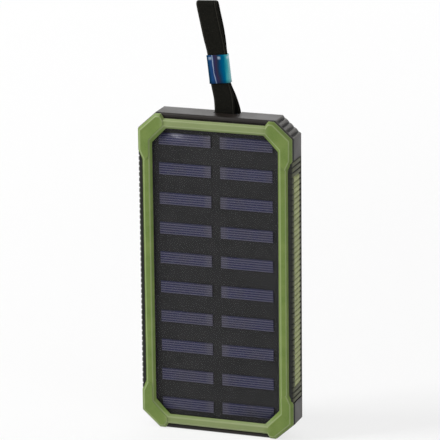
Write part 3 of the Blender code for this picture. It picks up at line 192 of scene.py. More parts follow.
# %% A recipe for plain finishes
def moulded(name, base, other, rough, grain, bump, metallic=0.0, spread=0.06, **constants):
    """A moulded or cast material: slow mottling between two near colours, and a fine grain in bump and gloss."""
    graph = Graph(name, rough, metallic, **constants)
    slow = graph.noise(90.0, 4.0)
    fine = graph.noise(grain, 2.0)
    blend = graph.math("MULTIPLY_ADD", fine, 0.35)
    graph.tree.links.new(slow, blend.node.inputs[2])
    graph.colour(graph.mix(graph.range(blend, 0.45, 0.95, 0.0, 1.0), linear(*base), linear(*other)))
    graph.roughness(graph.range(fine, 0.3, 0.7, rough - spread, rough + spread))
    graph.bump(fine, bump)
    return graph.material


# %% Plain materials for each finish
MATERIALS = {
    "matt_black": moulded("matt_black", (30, 30, 32), (42, 42, 44), 0.6, 3000.0, 0.2),
    "steel": moulded("steel", (178, 180, 184), (205, 206, 208), 0.28, 2600.0, 0.08, metallic=1.0),
    "brass": moulded("brass", (190, 150, 80), (214, 178, 106), 0.32, 2600.0, 0.08, metallic=1.0),
    "bright_plating": moulded("bright_plating", (222, 223, 226), (238, 238, 240), 0.12, 1500.0, 0.03,
                              metallic=1.0, spread=0.03),
    "blue_plastic": moulded("blue_plastic", (34, 78, 168), (46, 92, 186), 0.42, 3400.0, 0.12),
    "lamp_circuit_board": moulded("lamp_circuit_board", (222, 222, 216), (236, 236, 230), 0.5, 2400.0, 0.1),
    "ferrite": moulded("ferrite", (50, 50, 52), (66, 66, 68), 0.68, 3800.0, 0.35),
    "light_pipe": moulded("light_pipe", (214, 218, 220), (232, 234, 236), 0.28, 1800.0, 0.05, Alpha=0.75),
    "indicator_diode": moulded("indicator_diode", (226, 226, 216), (240, 240, 232), 0.36, 2800.0, 0.08),
    "lamp_diode": moulded("lamp_diode", (224, 190, 84), (238, 208, 106), 0.4, 2600.0, 0.12),
    "grey_foam": moulded("grey_foam", (132, 132, 130), (158, 158, 156), 0.95, 2200.0, 0.8, spread=0.03),
    "red_wire": moulded("red_wire", (168, 26, 24), (190, 36, 32), 0.42, 1800.0, 0.08),
    "black_wire": moulded("black_wire", (26, 26, 26), (38, 38, 38), 0.42, 1800.0, 0.08),
}
print(len(MATERIALS), "plain materials")


# %% [markdown]
# ### Green plastic
#
# The bezel is satin plastic with a fine spark-eroded grain. Its rounded edges get a painted highlight, so the mesh
# carries an `edge` attribute that is 1 on a round, and the colour leans to a paler green there. The rails across the
# two ends get a painted highlight too, a shade paler than the rest, which two ranges on the coordinates pick out.

# %% Green plastic
def green_plastic():
    graph = Graph("green_plastic", 0.46, Specular_IOR_Level=0.35)
    slow = graph.noise(150.0, 4.0)
    fine = graph.noise(3600.0, 2.0)
    base = graph.mix(graph.range(slow, 0.35, 0.65, 0.0, 1.0), linear(98, 122, 50), linear(112, 133, 62))
    speck = graph.mix(graph.range(fine, 0.35, 0.7, 0.0, 0.4), base, linear(124, 142, 78))
    # painted highlight on the end rails between the pads
    spot = graph.spot()
    near_end = graph.range(graph.from_middle(spot[2]), MIDDLE - 9 * MM, MIDDLE - 6 * MM, 0.0, 1.0)
    between_pads = graph.range(graph.math("ABSOLUTE", spot[0]), 23 * MM, 27 * MM, 1.0, 0.0)
    paler = graph.math("MULTIPLY", graph.math("MULTIPLY", near_end, between_pads), 0.6)
    speck = graph.mix(paler, speck, linear(146, 156, 112))
    # painted highlight on the rounds
    edge = graph.attribute("edge")
    graph.colour(graph.mix(graph.math("MULTIPLY", edge, 0.4), speck, linear(168, 178, 136)))
    graph.roughness(graph.range(fine, 0.3, 0.7, 0.40, 0.54))
    graph.bump(fine, 0.22, 0.00006)
    return graph.material


MATERIALS["green_plastic"] = green_plastic()
print("green plastic:", len(MATERIALS["green_plastic"].node_tree.nodes), "nodes")

# %% [markdown]
# ### Black plastic
#
# The shell is moulded black. Its colour carries painted light in four places: painted shade on the front edge beside
# the pads, which lies in their shade, painted shade on the floors of the grooves across the cut corners, a painted
# highlight on the crests between those grooves, and a faint painted highlight on the rounded edges. The distance from
# the corner's slanted face tells a groove from a crest, and it is worked out here from the coordinates, so no mask has
# to be painted.

# %% Black plastic
def black_plastic():
    """Moulded black with a fine texture. The gloss varies a little, so reflections aren't even."""
    graph = Graph("black_plastic", 0.42, Specular_IOR_Level=0.3)
    slow = graph.noise(70.0, 4.0)
    fine = graph.noise(5200.0, 2.0)
    base = graph.mix(graph.range(slow, 0.35, 0.65, 0.0, 1.0), linear(24, 19, 16), linear(34, 28, 24))
    # painted highlight on the rounded edges
    edge = graph.attribute("edge")
    base = graph.mix(graph.math("MULTIPLY", edge, 0.3), base, linear(78, 72, 66))
    # painted shade on the front edge beside the pads
    spot = graph.spot()
    at_front = graph.range(spot[1], SHELL_LOW[1] + 1.9 * MM, SHELL_LOW[1] + 2.5 * MM, 1.0, 0.0)
    beside = graph.range(graph.math("ABSOLUTE", spot[0]), 26 * MM, 28 * MM, 0.0, 1.0)
    base = graph.mix(graph.math("MULTIPLY", at_front, beside), base, linear(7, 7, 5))
    # painted shade on the floors of the grooves across the cut corners, and a painted highlight on the crests between
    # them
    out_x = graph.math("SUBTRACT", graph.math("ABSOLUTE", spot[0]), HALF_WIDTH - CORNER_RUN)
    out_z = graph.math("SUBTRACT", graph.from_middle(spot[2]), MIDDLE - CORNER_RISE)
    slant = graph.math("ADD", graph.math("MULTIPLY", out_x, CORNER_RISE), graph.math("MULTIPLY", out_z, CORNER_RUN))
    depth = graph.math("DIVIDE", slant, CORNER_SLANT)
    groove = graph.range(depth, CORNER_DEPTH - 0.95 * MM, CORNER_DEPTH - 0.25 * MM, 1.0, 0.0)
    in_corner = graph.math("MULTIPLY", graph.math("GREATER_THAN", out_x, 0.0), graph.math("GREATER_THAN", out_z, 0.0))
    ridge = graph.math("MULTIPLY", graph.math("SUBTRACT", 1.0, groove), in_corner)
    base = graph.mix(graph.math("MULTIPLY", ridge, 0.5), base, linear(84, 80, 74))
    graph.colour(graph.mix(graph.math("MULTIPLY", groove, in_corner), base, linear(6, 6, 5)))
    blend = graph.math("ADD", graph.math("MULTIPLY", slow, 0.6), graph.math("MULTIPLY", fine, 0.4))
    graph.roughness(graph.range(blend, 0.35, 0.65, 0.36, 0.5))
    graph.bump(fine, 0.18, 0.00005)
    return graph.material


MATERIALS["black_plastic"] = black_plastic()
print("black plastic:", len(MATERIALS["black_plastic"].node_tree.nodes), "nodes")

# %% [markdown]
# ### Rubber of the grips
#
# The crests of the ribs get a painted highlight, and the floor between them is kept darker as painted shade. The ribs
# carry the `edge` attribute and the strips under them don't, so one material can give both. Black and green differ
# only in colours.

# %% Black and green rubber
def ribbed_rubber(name, groove, crest, rough):
    """Rubber whose rib crests carry a painted highlight, paler than the floor between them, which carries painted
    shade. The ribs carry the `edge` attribute.
    """
    graph = Graph(name, rough, Specular_IOR_Level=0.35)
    slow = graph.noise(260.0, 3.0)
    fine = graph.noise(4600.0, 2.0)
    blotch = graph.range(slow, 0.35, 0.65, 0.0, 1.0)
    low = graph.mix(blotch, linear(*groove), linear(*(value * 1.25 for value in groove)))
    high = graph.mix(blotch, linear(*crest), linear(*(value * 1.12 for value in crest)))
    # painted highlight on the crests, painted shade on the floor between them
    graph.colour(graph.mix(graph.attribute("edge"), low, high))
    graph.roughness(graph.range(fine, 0.3, 0.7, rough - 0.07, rough + 0.07))
    graph.bump(fine, 0.28)
    return graph.material


MATERIALS["black_rubber"] = ribbed_rubber("black_rubber", (16, 17, 11), (74, 76, 54), 0.5)
MATERIALS["green_rubber"] = ribbed_rubber("green_rubber", (124, 130, 84), (150, 156, 108), 0.62)
print("rubbers:", [name for name in MATERIALS if name.endswith("rubber")])

# %% [markdown]
# ### Solar panel
#
# A cell is dark blue-grey silicon with a few pale printed lines along it. The lines come from the cell's own UV,
# whose V runs across the cell, so they follow each cell wherever it is placed. A sine of V gives five even lines,
# and U tells which end the ribbon is soldered to.

# %% Solar cell
def solar_cell():
    graph = Graph("solar_cell", 0.34, Specular_IOR_Level=0.3)
    uv = graph.add("ShaderNodeUVMap", uv_map="UVMap").outputs[0]
    parts = graph.add("ShaderNodeSeparateXYZ", {0: uv})
    along, across = parts.outputs[0], parts.outputs[1]
    wave = graph.math("SINE", graph.math("MULTIPLY", across, math.tau * 5.0))
    line = graph.range(wave, 0.2, 0.95, 0.0, 1.0)
    slow = graph.noise(110.0, 3.0)
    grain = graph.noise(1200.0, 2.0)
    silicon = graph.mix(graph.range(slow, 0.35, 0.65, 0.0, 1.0), linear(36, 39, 74), linear(50, 49, 70))
    silicon = graph.mix(graph.range(grain, 0.4, 0.7, 0.0, 0.2), silicon, linear(78, 80, 112))
    solder = graph.range(along, 0.84, 0.92, 0.0, 0.5)
    silicon = graph.mix(solder, silicon, linear(84, 82, 90))
    graph.colour(graph.mix(graph.math("MULTIPLY", line, 0.8), silicon, linear(108, 105, 122)))
    graph.bump(line, 0.2, 0.00003)
    return graph.material


MATERIALS["solar_cell"] = solar_cell()
print("solar cell:", len(MATERIALS["solar_cell"].node_tree.nodes), "nodes")

# %% [markdown]
# The laminate over the cells is a nearly clear sheet: low alpha lets the cells show, and the same shader still gives
# a trace of gloss. Its cut edge at the two sides catches a purple tint. The board behind the cells is matt black,
# and it could be a solid's plain finish, but the weave of its glass cloth shows through the black, as a fine noise.

# %% Laminate and backing
def panel_laminate():
    """The clear sheet over the cells."""
    graph = Graph("panel_laminate", 0.16, Alpha=0.06, IOR=1.45)
    slow = graph.noise(40.0, 2.0)
    fine = graph.noise(300.0, 3.0)
    base = graph.mix(graph.range(slow, 0.3, 0.7, 0.0, 1.0), linear(22, 22, 26), linear(30, 29, 36))
    side = graph.math("ABSOLUTE", graph.spot()[0])
    rim = graph.range(side, COVER_HALF - 1.6 * MM, COVER_HALF - 1.0 * MM, 0.0, 1.0)
    graph.colour(graph.mix(rim, base, linear(150, 92, 190)))
    graph.roughness(graph.range(fine, 0.3, 0.7, 0.14, 0.20))
    graph.bump(slow, 0.05, 0.0002)
    return graph.material


def panel_backing():
    """The matt black board behind the cells, with the weave of its glass cloth just visible."""
    graph = Graph("panel_backing", 0.6, Specular_IOR_Level=0.2)
    cloth = graph.noise(900.0, 2.0)
    slow = graph.noise(120.0, 3.0)
    base = graph.mix(graph.range(slow, 0.35, 0.65, 0.0, 1.0), linear(38, 38, 38), linear(44, 44, 44))
    graph.colour(graph.mix(graph.range(cloth, 0.4, 0.65, 0.0, 0.25), base, linear(54, 54, 58)))
    graph.bump(cloth, 0.05, 0.00003)
    return graph.material


MATERIALS["panel_laminate"] = panel_laminate()
MATERIALS["panel_backing"] = panel_backing()
print("panel: laminate and backing are ready")

# %% [markdown]
# ### Strap and ferrule
#
# The webbing's UV is in millimetres, across it (U) and along it (V), as it would lie flat. A brick pattern on that
# UV gives the small raised blocks of a plain weave, each row shifted by half a block. Along each side runs the
# selvedge: a groove, drawn darker as painted shade, and then a cord that is a little paler, a painted highlight.

# %% Webbing
def black_webbing():
    graph = Graph("black_webbing", 0.9, Specular_IOR_Level=0.08)
    uv = graph.add("ShaderNodeUVMap", uv_map="UVMap").outputs[0]
    brick = graph.add(
        "ShaderNodeTexBrick", {"Vector": uv, "Scale": 1.0, "Mortar Size": 0.10, "Mortar Smooth": 0.8,
                               "Brick Width": 1.6, "Row Height": 0.9, "Bias": 0.0},
        offset=0.5, squash=1.0,
    )
    brick.inputs["Color1"].default_value = (*linear(16, 16, 12), 1.0)
    brick.inputs["Color2"].default_value = (*linear(23, 22, 17), 1.0)
    brick.inputs["Mortar"].default_value = (*linear(8, 8, 6), 1.0)
    fluff = graph.noise(2400.0, 4.0)
    woven = graph.mix(graph.range(fluff, 0.35, 0.7, 0.0, 0.25), brick.outputs["Color"], linear(38, 37, 31))
    side = graph.math("ABSOLUTE", graph.add("ShaderNodeSeparateXYZ", {0: uv}).outputs[0])
    groove = graph.math("MULTIPLY", graph.range(side, 3.5, 3.7, 0.0, 1.0), graph.range(side, 3.8, 4.0, 1.0, 0.0))
    cord = graph.math("MULTIPLY", graph.range(side, 3.9, 4.1, 0.0, 1.0), graph.range(side, 4.3, 4.5, 1.0, 0.0))
    # painted shade in the selvedge groove, painted highlight on the cord
    woven = graph.mix(groove, woven, linear(8, 8, 6))
    graph.colour(graph.mix(graph.math("MULTIPLY", cord, 0.55), woven, linear(58, 57, 50)))
    weave = graph.math("SUBTRACT", 1.0, brick.outputs["Fac"])
    weave = graph.math("SUBTRACT", graph.math("ADD", weave, graph.math("MULTIPLY", fluff, 0.4)), groove)
    graph.bump(weave, 0.9, 0.00012)
    graph.shader.inputs["Sheen Weight"].default_value = 0.02
    graph.shader.inputs["Sheen Roughness"].default_value = 0.5
    return graph.material


MATERIALS["black_webbing"] = black_webbing()
print("webbing:", len(MATERIALS["black_webbing"].node_tree.nodes), "nodes")

# %% [markdown]
# The ferrule is blue anodised metal. Across its width its colour goes from navy over violet to teal, which is the blue
# together with painted reflections, and one thin pale band is a painted highlight. The mesh carries `across` and `up`,
# both 0 to 1, and a colour ramp reads `across`, moved a little by slow noise so that the bands aren't ruled straight.
# `up` darkens the foot and places a row of small painted glints near the top.

# %% Anodised metal
# blue and painted reflection bands across the ferrule; the pale band at 0.30 is a painted highlight line
BLUE_AND_REFLECTION_BANDS = (
    (0.00, (40, 90, 104)), (0.07, (12, 48, 74)), (0.17, (30, 70, 118)), (0.27, (34, 62, 108)),
    (0.30, (150, 168, 190)), (0.33, (40, 46, 84)), (0.45, (52, 44, 66)), (0.56, (24, 52, 80)),
    (0.68, (0, 76, 116)), (0.80, (0, 92, 124)), (0.90, (46, 140, 152)), (1.00, (86, 150, 156)),
)


def anodised_blue():
    graph = Graph("anodised_blue", 0.24, 1.0)
    drift = graph.noise(210.0, 2.0, graph.stretch(1.0, 1.0, 0.35))
    place = graph.math("ADD", graph.attribute("across"), graph.range(drift, 0.3, 0.7, -0.07, 0.07))
    ramp = graph.add("ShaderNodeValToRGB", {"Fac": place})
    bands = ramp.color_ramp.elements
    for band, (share, colour) in zip((bands[0], bands[1]), (BLUE_AND_REFLECTION_BANDS[0], BLUE_AND_REFLECTION_BANDS[-1])):
        band.position = share
        band.color = (*linear(*colour), 1.0)
    for share, colour in BLUE_AND_REFLECTION_BANDS[1:-1]:
        bands.new(share).color = (*linear(*colour), 1.0)
    height = graph.attribute("up")
    foot = graph.range(height, 0.0, 0.14, 0.65, 0.0)
    colour = graph.mix(foot, ramp.outputs[0], linear(10, 30, 52))
    # painted glints in a band near the top
    glint_band = graph.math("MULTIPLY", graph.range(height, 0.82, 0.88, 0.0, 1.0), graph.range(height, 0.92, 0.96, 1.0, 0.0))
    wave = graph.math("SINE", graph.math("SUBTRACT", graph.math("MULTIPLY", place, 15.7), 1.57))
    glint = graph.range(wave, 0.1, 1.0, 0.0, 0.6)
    graph.colour(graph.mix(graph.math("MULTIPLY", glint_band, glint), colour, linear(176, 196, 212)))
    fine = graph.noise(1400.0, 3.0, graph.stretch(1.0, 1.0, 0.15))
    graph.roughness(graph.range(fine, 0.3, 0.7, 0.18, 0.32))
    graph.bump(fine, 0.12, 0.00004)
    return graph.material


MATERIALS["anodised_blue"] = anodised_blue()
print("ferrule:", len(BLUE_AND_REFLECTION_BANDS), "bands of colour")

# %% [markdown]
# ### Circuit board, battery foil and lamp lens
#
# These are inside or at the back. The board's tracks are the walls between Voronoi cells, because a track is an even
# line that keeps clear of its neighbours. The foil of a pouch cell is brushed along its length, so its noise is
# stretched that way. The lamp's lens has fine prisms across it, which a sine gives.

# %% Circuit board
def circuit_board():
    """Green solder mask over copper tracks. Tracks are the walls between large Voronoi cells."""
    graph = Graph("circuit_board", 0.42)
    cells = graph.add("ShaderNodeTexVoronoi", {"Vector": graph.where, "Scale": 420.0}, feature="DISTANCE_TO_EDGE")
    track = graph.range(cells.outputs["Distance"], 0.04, 0.07, 1.0, 0.0)
    slow = graph.noise(200.0, 3.0)
    mask = graph.mix(graph.range(slow, 0.3, 0.7, 0.0, 1.0), linear(18, 88, 48), linear(28, 104, 58))
    graph.colour(graph.mix(track, mask, linear(60, 138, 84)))
    graph.bump(track, 0.3, 0.00004)
    return graph.material


MATERIALS["circuit_board"] = circuit_board()
print("circuit board is ready")


# %% Battery foil and lens
def battery_foil():
    """Pouch foil: brushed along its length, with shallow wrinkles."""
    graph = Graph("battery_foil", 0.34, 0.85)
    brushed = graph.noise(1.0, 3.0, graph.stretch(2600.0, 2600.0, 60.0))
    wrinkle = graph.noise(170.0, 2.0)
    graph.colour(graph.mix(graph.range(brushed, 0.3, 0.7, 0.0, 1.0), linear(170, 172, 176), linear(200, 201, 204)))
    graph.roughness(graph.range(brushed, 0.3, 0.7, 0.26, 0.42))
    graph.bump(graph.math("ADD", brushed, graph.math("MULTIPLY", wrinkle, 4.0)), 0.25, 0.0002)
    return graph.material


PRISM_PITCH = 1.2 * MM


def clear_lens():
    """Frosted clear plastic with fine prisms across it, which spread the lamp's light."""
    graph = Graph("clear_lens", 0.18, Alpha=0.55, IOR=1.49)
    ridge = graph.math("SINE", graph.math("MULTIPLY", graph.spot()[0], math.tau / PRISM_PITCH))
    slow = graph.noise(200.0, 2.0)
    graph.colour(graph.mix(graph.range(slow, 0.3, 0.7, 0.0, 1.0), linear(222, 226, 230), linear(236, 240, 243)))
    graph.bump(ridge, 0.35, 0.0001)
    return graph.material


MATERIALS["battery_foil"] = battery_foil()
MATERIALS["clear_lens"] = clear_lens()
print(len(MATERIALS), "materials in all")

# %% [markdown]
# ## Tools for shapes
#
# Most pieces start as a loft: the same number of points on each of several rings, joined ring to ring. `piece` turns
# the finished bmesh into an object with one material, and `baked` applies its modifiers, because a finished piece
# has to be one plain mesh.

# %% Lofts and pieces
SHARP = 0.6


def piece(name, form, material, angle=SHARP):
    """Turns a bmesh into a smooth-shaded object. Edges that turn by more than angle stay sharp."""
    bmesh.ops.recalc_face_normals(form, faces=form.faces)
    mesh = bpy.data.meshes.new(name)
    form.to_mesh(mesh)
    form.free()
    made = bpy.data.objects.new(name, mesh)
    bpy.context.scene.collection.objects.link(made)
    mesh.materials.append(MATERIALS[material])
    mesh.shade_smooth()
    mesh.set_sharp_from_angle(angle=angle)
    return made


def loft(rings, closed=False, caps=False, marks=None):
    """Joins rings of equal length. marks gives the `edge` value of the band after each ring."""
    form = bmesh.new()
    layer = form.faces.layers.float.new("edge")
    rows = [[form.verts.new(point) for point in ring] for ring in rings]
    pairs = list(zip(rows, rows[1:])) + ([(rows[-1], rows[0])] if closed else [])
    for i, (near, far) in enumerate(pairs):
        for k in range(len(near)):
            face = form.faces.new((near[k - 1], near[k], far[k], far[k - 1]))
            face[layer] = marks[i] if marks else 0.0
    if caps:
        form.faces.new(rows[0])
        form.faces.new(rows[-1])
    return form


print(f"edges that turn by more than {math.degrees(SHARP):.0f} degrees stay sharp")

# %% Finishing a mesh
def baked(made):
    """Applies every modifier, so that the piece is one plain mesh."""
    mesh = bpy.data.meshes.new_from_object(made.evaluated_get(bpy.context.evaluated_depsgraph_get()))
    made.modifiers.clear()
    old = made.data
    made.data = mesh
    bpy.data.meshes.remove(old)
    return made


def even_normals(made):
    """Large faces keep flat shading and the narrow rounds between them blend, as on a moulded edge."""
    weigh = made.modifiers.new("weighted", "WEIGHTED_NORMAL")
    weigh.keep_sharp = True
    weigh.mode = "FACE_AREA"
    return baked(made)


def join(name, parts):
    """Several baked objects as one mesh, each keeping its own material."""
    with bpy.context.temp_override(active_object=parts[0], selected_editable_objects=parts):
        bpy.ops.object.join()
    parts[0].name = name
    parts[0].data.name = name
    return parts[0]


def stands_for(made, node, body):
    """Hides the solid that a finished piece replaces, and attaches the piece to the body it moves with."""
    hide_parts(node)
    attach(made, body)


def rounded(corners, radius, steps=5):
    """A closed outline with each corner replaced by an arc. radius may be one number or one for each corner."""
    points = []
    for i, corner in enumerate(corners):
        size = radius[i] if isinstance(radius, (list, tuple)) else radius
        before, after = corners[i - 1], corners[(i + 1) % len(corners)]
        back, ahead = (before - corner).normalized(), (after - corner).normalized()
        turn = math.pi - back.angle(ahead)
        reach = min(size * math.tan(turn / 2), (before - corner).length * 0.48, (after - corner).length * 0.48)
        start, end = corner + back * reach, corner + ahead * reach
        for step in range(steps + 1):
            t = step / steps
            points.append(start.lerp(corner, t).lerp(corner.lerp(end, t), t))
    return points


def ease(t):
    """Goes from 0 to 1 with a soft start and a soft end."""
    t = min(max(t, 0.0), 1.0)
    return t * t * (3 - 2 * t)


print("halfway along its range, ease gives", ease(0.5))

# %% [markdown]
# ## Bezel
#
# The bezel is one green moulding: an octagonal rail with a rounded outer edge and a slope into the window, and a
# raised pad on each corner. A bevel on the solid's own edges would be squeezed out where facets are short, so the
# bezel is made afresh from two sections. Every point of a section is (distance inward, depth), and its first number
# picks one outline of a family, from the outer edge to the window. One outline for each point makes the loft.

# %% Sizes of the bezel
RAIL_STEP, RAIL_STEP_END = 2.1 * MM, 2.2 * MM
RAIL_WIDTH, RAIL_WIDTH_END = 4.8 * MM, 4.7 * MM
RAIL_BEVEL, RAIL_FLAT = 0.9 * MM, 2.7 * MM
RAIL_UNDERCUT = 1.54 * MM
PAD_RAISE, PAD_BEVEL, PAD_FACE = 0.3 * MM, 1.3 * MM, 0.7 * MM
PAD_RUN_END, PAD_RUN_SIDE = 4.3 * MM, 10.3 * MM
PAD_TAPER_END, PAD_TAPER_SIDE = 1.5 * MM, 4.6 * MM
WINDOW_RUN, WINDOW_RISE = 7.0 * MM, 7.2 * MM
RAIL_FRONT = FRONT + PAD_RAISE
BEZEL_BACK = BEZEL_HIGH[1]
LIP_THICK = 0.3 * MM
LIP = RAIL_FRONT + 1.3 * MM - LIP_THICK
print(f"rails {RAIL_WIDTH / MM:.1f} mm wide, pads {PAD_RAISE / MM:.1f} mm proud of them")

# %% Outlines of the rails
def cut_corner(inset):
    """Run and rise of the cut corner once the outline is drawn in evenly."""
    return (CORNER_RUN - inset * (1 + (CORNER_RUN - CORNER_SLANT) / CORNER_RISE),
            CORNER_RISE - inset * (1 + (CORNER_RISE - CORNER_SLANT) / CORNER_RUN))


def window_mix(share):
    """Corners (x, z) of an octagon between the rails' outer edge (0) and the window (1)."""
    outer_half, outer_reach = HALF_WIDTH - PAD_MARGIN - RAIL_STEP, MIDDLE - PAD_MARGIN - RAIL_STEP_END
    outer = (outer_half, outer_reach, *cut_corner(PAD_MARGIN + RAIL_STEP))
    inner = (outer_half - RAIL_WIDTH, outer_reach - RAIL_WIDTH_END, WINDOW_RUN, WINDOW_RISE)
    x, z, run, rise = (a + (b - a) * share for a, b in zip(outer, inner))
    low, high = MIDDLE - z, MIDDLE + z
    return [(-x + run, low), (x - run, low), (x, low + rise), (x, high - rise),
            (x - run, high), (-x + run, high), (-x, high - rise), (-x, low + rise)]


print("window corners (mm):", [tuple(round(value / MM, 1) for value in corner) for corner in window_mix(1.0)[1:4]])

# %% Outline of a pad
def pad_outline(inset):
    """One pad's outline in the upper right quarter, about the middle, drawn in by inset from its outer edge."""
    grow = inset * PAD_RAISE / PAD_BEVEL
    run, rise = cut_corner(PAD_MARGIN + inset)
    full_run, full_rise = cut_corner(PAD_MARGIN)
    half_width, half_height = HALF_WIDTH - PAD_MARGIN, MIDDLE - PAD_MARGIN
    right, top = half_width - inset, half_height - inset
    end_x, end_z = half_width - full_run - PAD_RUN_END + grow, half_height - full_rise - PAD_RUN_SIDE + grow
    inner = window_mix((RAIL_BEVEL + RAIL_FLAT) / RAIL_WIDTH)
    side_x, side_z = inner[3][0] + grow, inner[3][1] - MIDDLE
    top_x, top_z = inner[4][0], inner[4][1] - MIDDLE + grow
    rail_x, rail_z = half_width - RAIL_STEP - inset, half_height - RAIL_STEP_END - inset
    return [(end_x, rail_z), (end_x + PAD_TAPER_END, top), (right - run, top), (right, top - rise), (right, end_z),
            (rail_x, end_z - PAD_TAPER_SIDE), (side_x, end_z - PAD_TAPER_SIDE + PAD_BEVEL), (side_x, side_z),
            (max(top_x, end_x), top_z), (end_x, top_z)]


print("a pad has", len(pad_outline(0.0)), "corners")

# %% Sections with rounded corners
def softened(profile, radii, steps=4):
    """A section with rounded corners, and for each point 1 if a round that can be seen goes on to the next point."""
    points = rounded([Vector(p) for p in profile], radii, steps)
    seen = [radius > 0.2 * MM for radius in radii]
    marks = [1.0 if i % (steps + 1) < steps and seen[i // (steps + 1)] else 0.0 for i in range(len(points))]
    return points, marks


def rail_section():
    """Back of the outer side, over the front to the window's lip, and back along the panel's edge."""
    width = RAIL_WIDTH
    under = width - RAIL_UNDERCUT
    return softened(
        [(0.0, BEZEL_BACK), (0.0, RAIL_FRONT + RAIL_BEVEL), (RAIL_BEVEL, RAIL_FRONT),
         (RAIL_BEVEL + RAIL_FLAT, RAIL_FRONT), (width, LIP), (width, LIP + LIP_THICK),
         (under, LIP + LIP_THICK), (under, BEZEL_BACK)],
        [0.05 * MM, 0.45 * MM, 0.7 * MM, 1.0 * MM, 0.15 * MM, 0.05 * MM, 0.02 * MM, 0.05 * MM],
    )


def pad_section():
    """Back of the outer side, over the bevel, to the flat face."""
    return softened(
        [(0.0, BEZEL_BACK), (0.0, FRONT + PAD_BEVEL), (PAD_BEVEL, FRONT), (PAD_BEVEL + PAD_FACE, FRONT)],
        [0.01 * MM, 0.5 * MM, 0.8 * MM, 0.01 * MM],
    )


print("rail section:", len(rail_section()[0]), "points, pad section:", len(pad_section()[0]), "points")

# %% Bezel
def make_bezel():
    section, marks = rail_section()
    rings = [[(x, p.y, z) for x, z in window_mix(p.x / RAIL_WIDTH)] for p in section]
    parts = [piece("rail", loft(rings, closed=True, marks=marks), "green_plastic")]
    section, marks = pad_section()
    for right in (1, -1):
        for up in (1, -1):
            rings = [[(right * x, p.y, MIDDLE + up * z) for x, z in pad_outline(p.x)] for p in section]
            parts.append(piece("pad", loft(rings, caps=True, marks=marks), "green_plastic"))
    return even_normals(join("bezel_frame", parts))


bezel = make_bezel()
stands_for(bezel, "front_bezel", "housing")
print("bezel:", len(bezel.data.polygons), "faces")

# %% [markdown]
# ## Shell
#
# The shell's form, with its grooved corners, its screw holes and the notch for the strap, is right in its solid. What
# the solid lacks is rounded edges. So a copy of it gets them: its flat facets are merged first, because a bevel needs
# real edges, then the outline at the front gets the wider round that a thumb would feel, and every other edge gets a
# narrow one. The bevel gives its own faces a second material slot, which is how they are found and marked.

# %% Which edges get the wider round
FRONT_ROUND, EDGE_ROUND = 0.3 * MM, 0.12 * MM


def at_front_outline(edge):
    """True for the shell's edges along its outer outline at the front."""
    for vert in edge.verts:
        x, y, z = abs(vert.co.x), vert.co.y, abs(vert.co.z - MIDDLE)
        across = (x - HALF_WIDTH + CORNER_RUN) * CORNER_RISE + (z - MIDDLE + CORNER_RISE) * CORNER_RUN
        inside = max(x - HALF_WIDTH, z - MIDDLE, across / CORNER_SLANT - CORNER_DEPTH)
        if inside < -0.9 * MM or y > SHELL_LOW[1] + 0.8 * MM:
            return False
    return abs(edge.verts[0].co.y - edge.verts[1].co.y) < 0.05 * MM


def merged_copy(node):
    """A bmesh of a solid whose doubles and flat facets are merged."""
    form = bmesh.new()
    form.from_mesh(NODES[node].data)
    bmesh.ops.remove_doubles(form, verts=form.verts, dist=0.06 * MM)
    bmesh.ops.dissolve_limit(form, angle_limit=math.radians(1.5), verts=form.verts, edges=form.edges)
    return form


print(f"rounds: {FRONT_ROUND / MM:.2f} mm along the front outline, {EDGE_ROUND / MM:.2f} mm elsewhere")

# %% Shell
def mark_bevels(mesh):
    """Turns the bevel's second material slot into the `edge` attribute and drops the slot."""
    marks = mesh.attributes.new("edge", "FLOAT", "FACE")
    marks.data.foreach_set("value", [float(face.material_index) for face in mesh.polygons])
    for face in mesh.polygons:
        face.material_index = 0
    mesh.materials.pop(index=1)


def make_shell():
    form = merged_copy("back_shell")
    outline = [e for e in form.edges if e.is_manifold and e.calc_face_angle() > 0.35 and at_front_outline(e)]
    bmesh.ops.bevel(
        form, geom=outline, offset=FRONT_ROUND, segments=4, profile=0.5, affect="EDGES", clamp_overlap=True,
    )
    mesh = bpy.data.meshes.new("back_shell_dressed")
    form.to_mesh(mesh)
    form.free()
    made = bpy.data.objects.new(mesh.name, mesh)
    bpy.context.scene.collection.objects.link(made)
    mesh.materials.clear()
    for slot in range(2):
        mesh.materials.append(MATERIALS["black_plastic"])
    for face in mesh.polygons:
        face.material_index = 0
    rounding = made.modifiers.new("edges", "BEVEL")
    rounding.width = EDGE_ROUND
    rounding.segments = 2
    rounding.limit_method = "ANGLE"
    rounding.angle_limit = math.radians(28)
    rounding.harden_normals = True
    rounding.use_clamp_overlap = False
    rounding.material = 1
    mesh.shade_smooth()
    mesh = baked(made).data
    mark_bevels(mesh)
    # a bevel that is free to pass its neighbours can leave the box at a sharp corner, so it is held inside
    for vertex in mesh.vertices:
        vertex.co = [min(max(value, SHELL_LOW[k]), SHELL_HIGH[k]) for k, value in enumerate(vertex.co)]
    mesh.set_sharp_from_angle(angle=math.radians(50))
    print("shell:", len(outline), "edges with the wider round")
    return even_normals(made)


shell = make_shell()
stands_for(shell, "back_shell", "housing")
print("shell:", len(shell.data.polygons), "faces")

# %% [markdown]
# ## What repeats: ribs and cells
#
# A rib is one profile swept along a short path, and the grip is that rib again and again at an even pitch. That is
# a rule, so Geometry Nodes builds it. The modifier's object holds the path, the profile is a trapezoid with rounded
# corners, and a line of points gives each copy its place. The same kind of group repeats the solar cells.

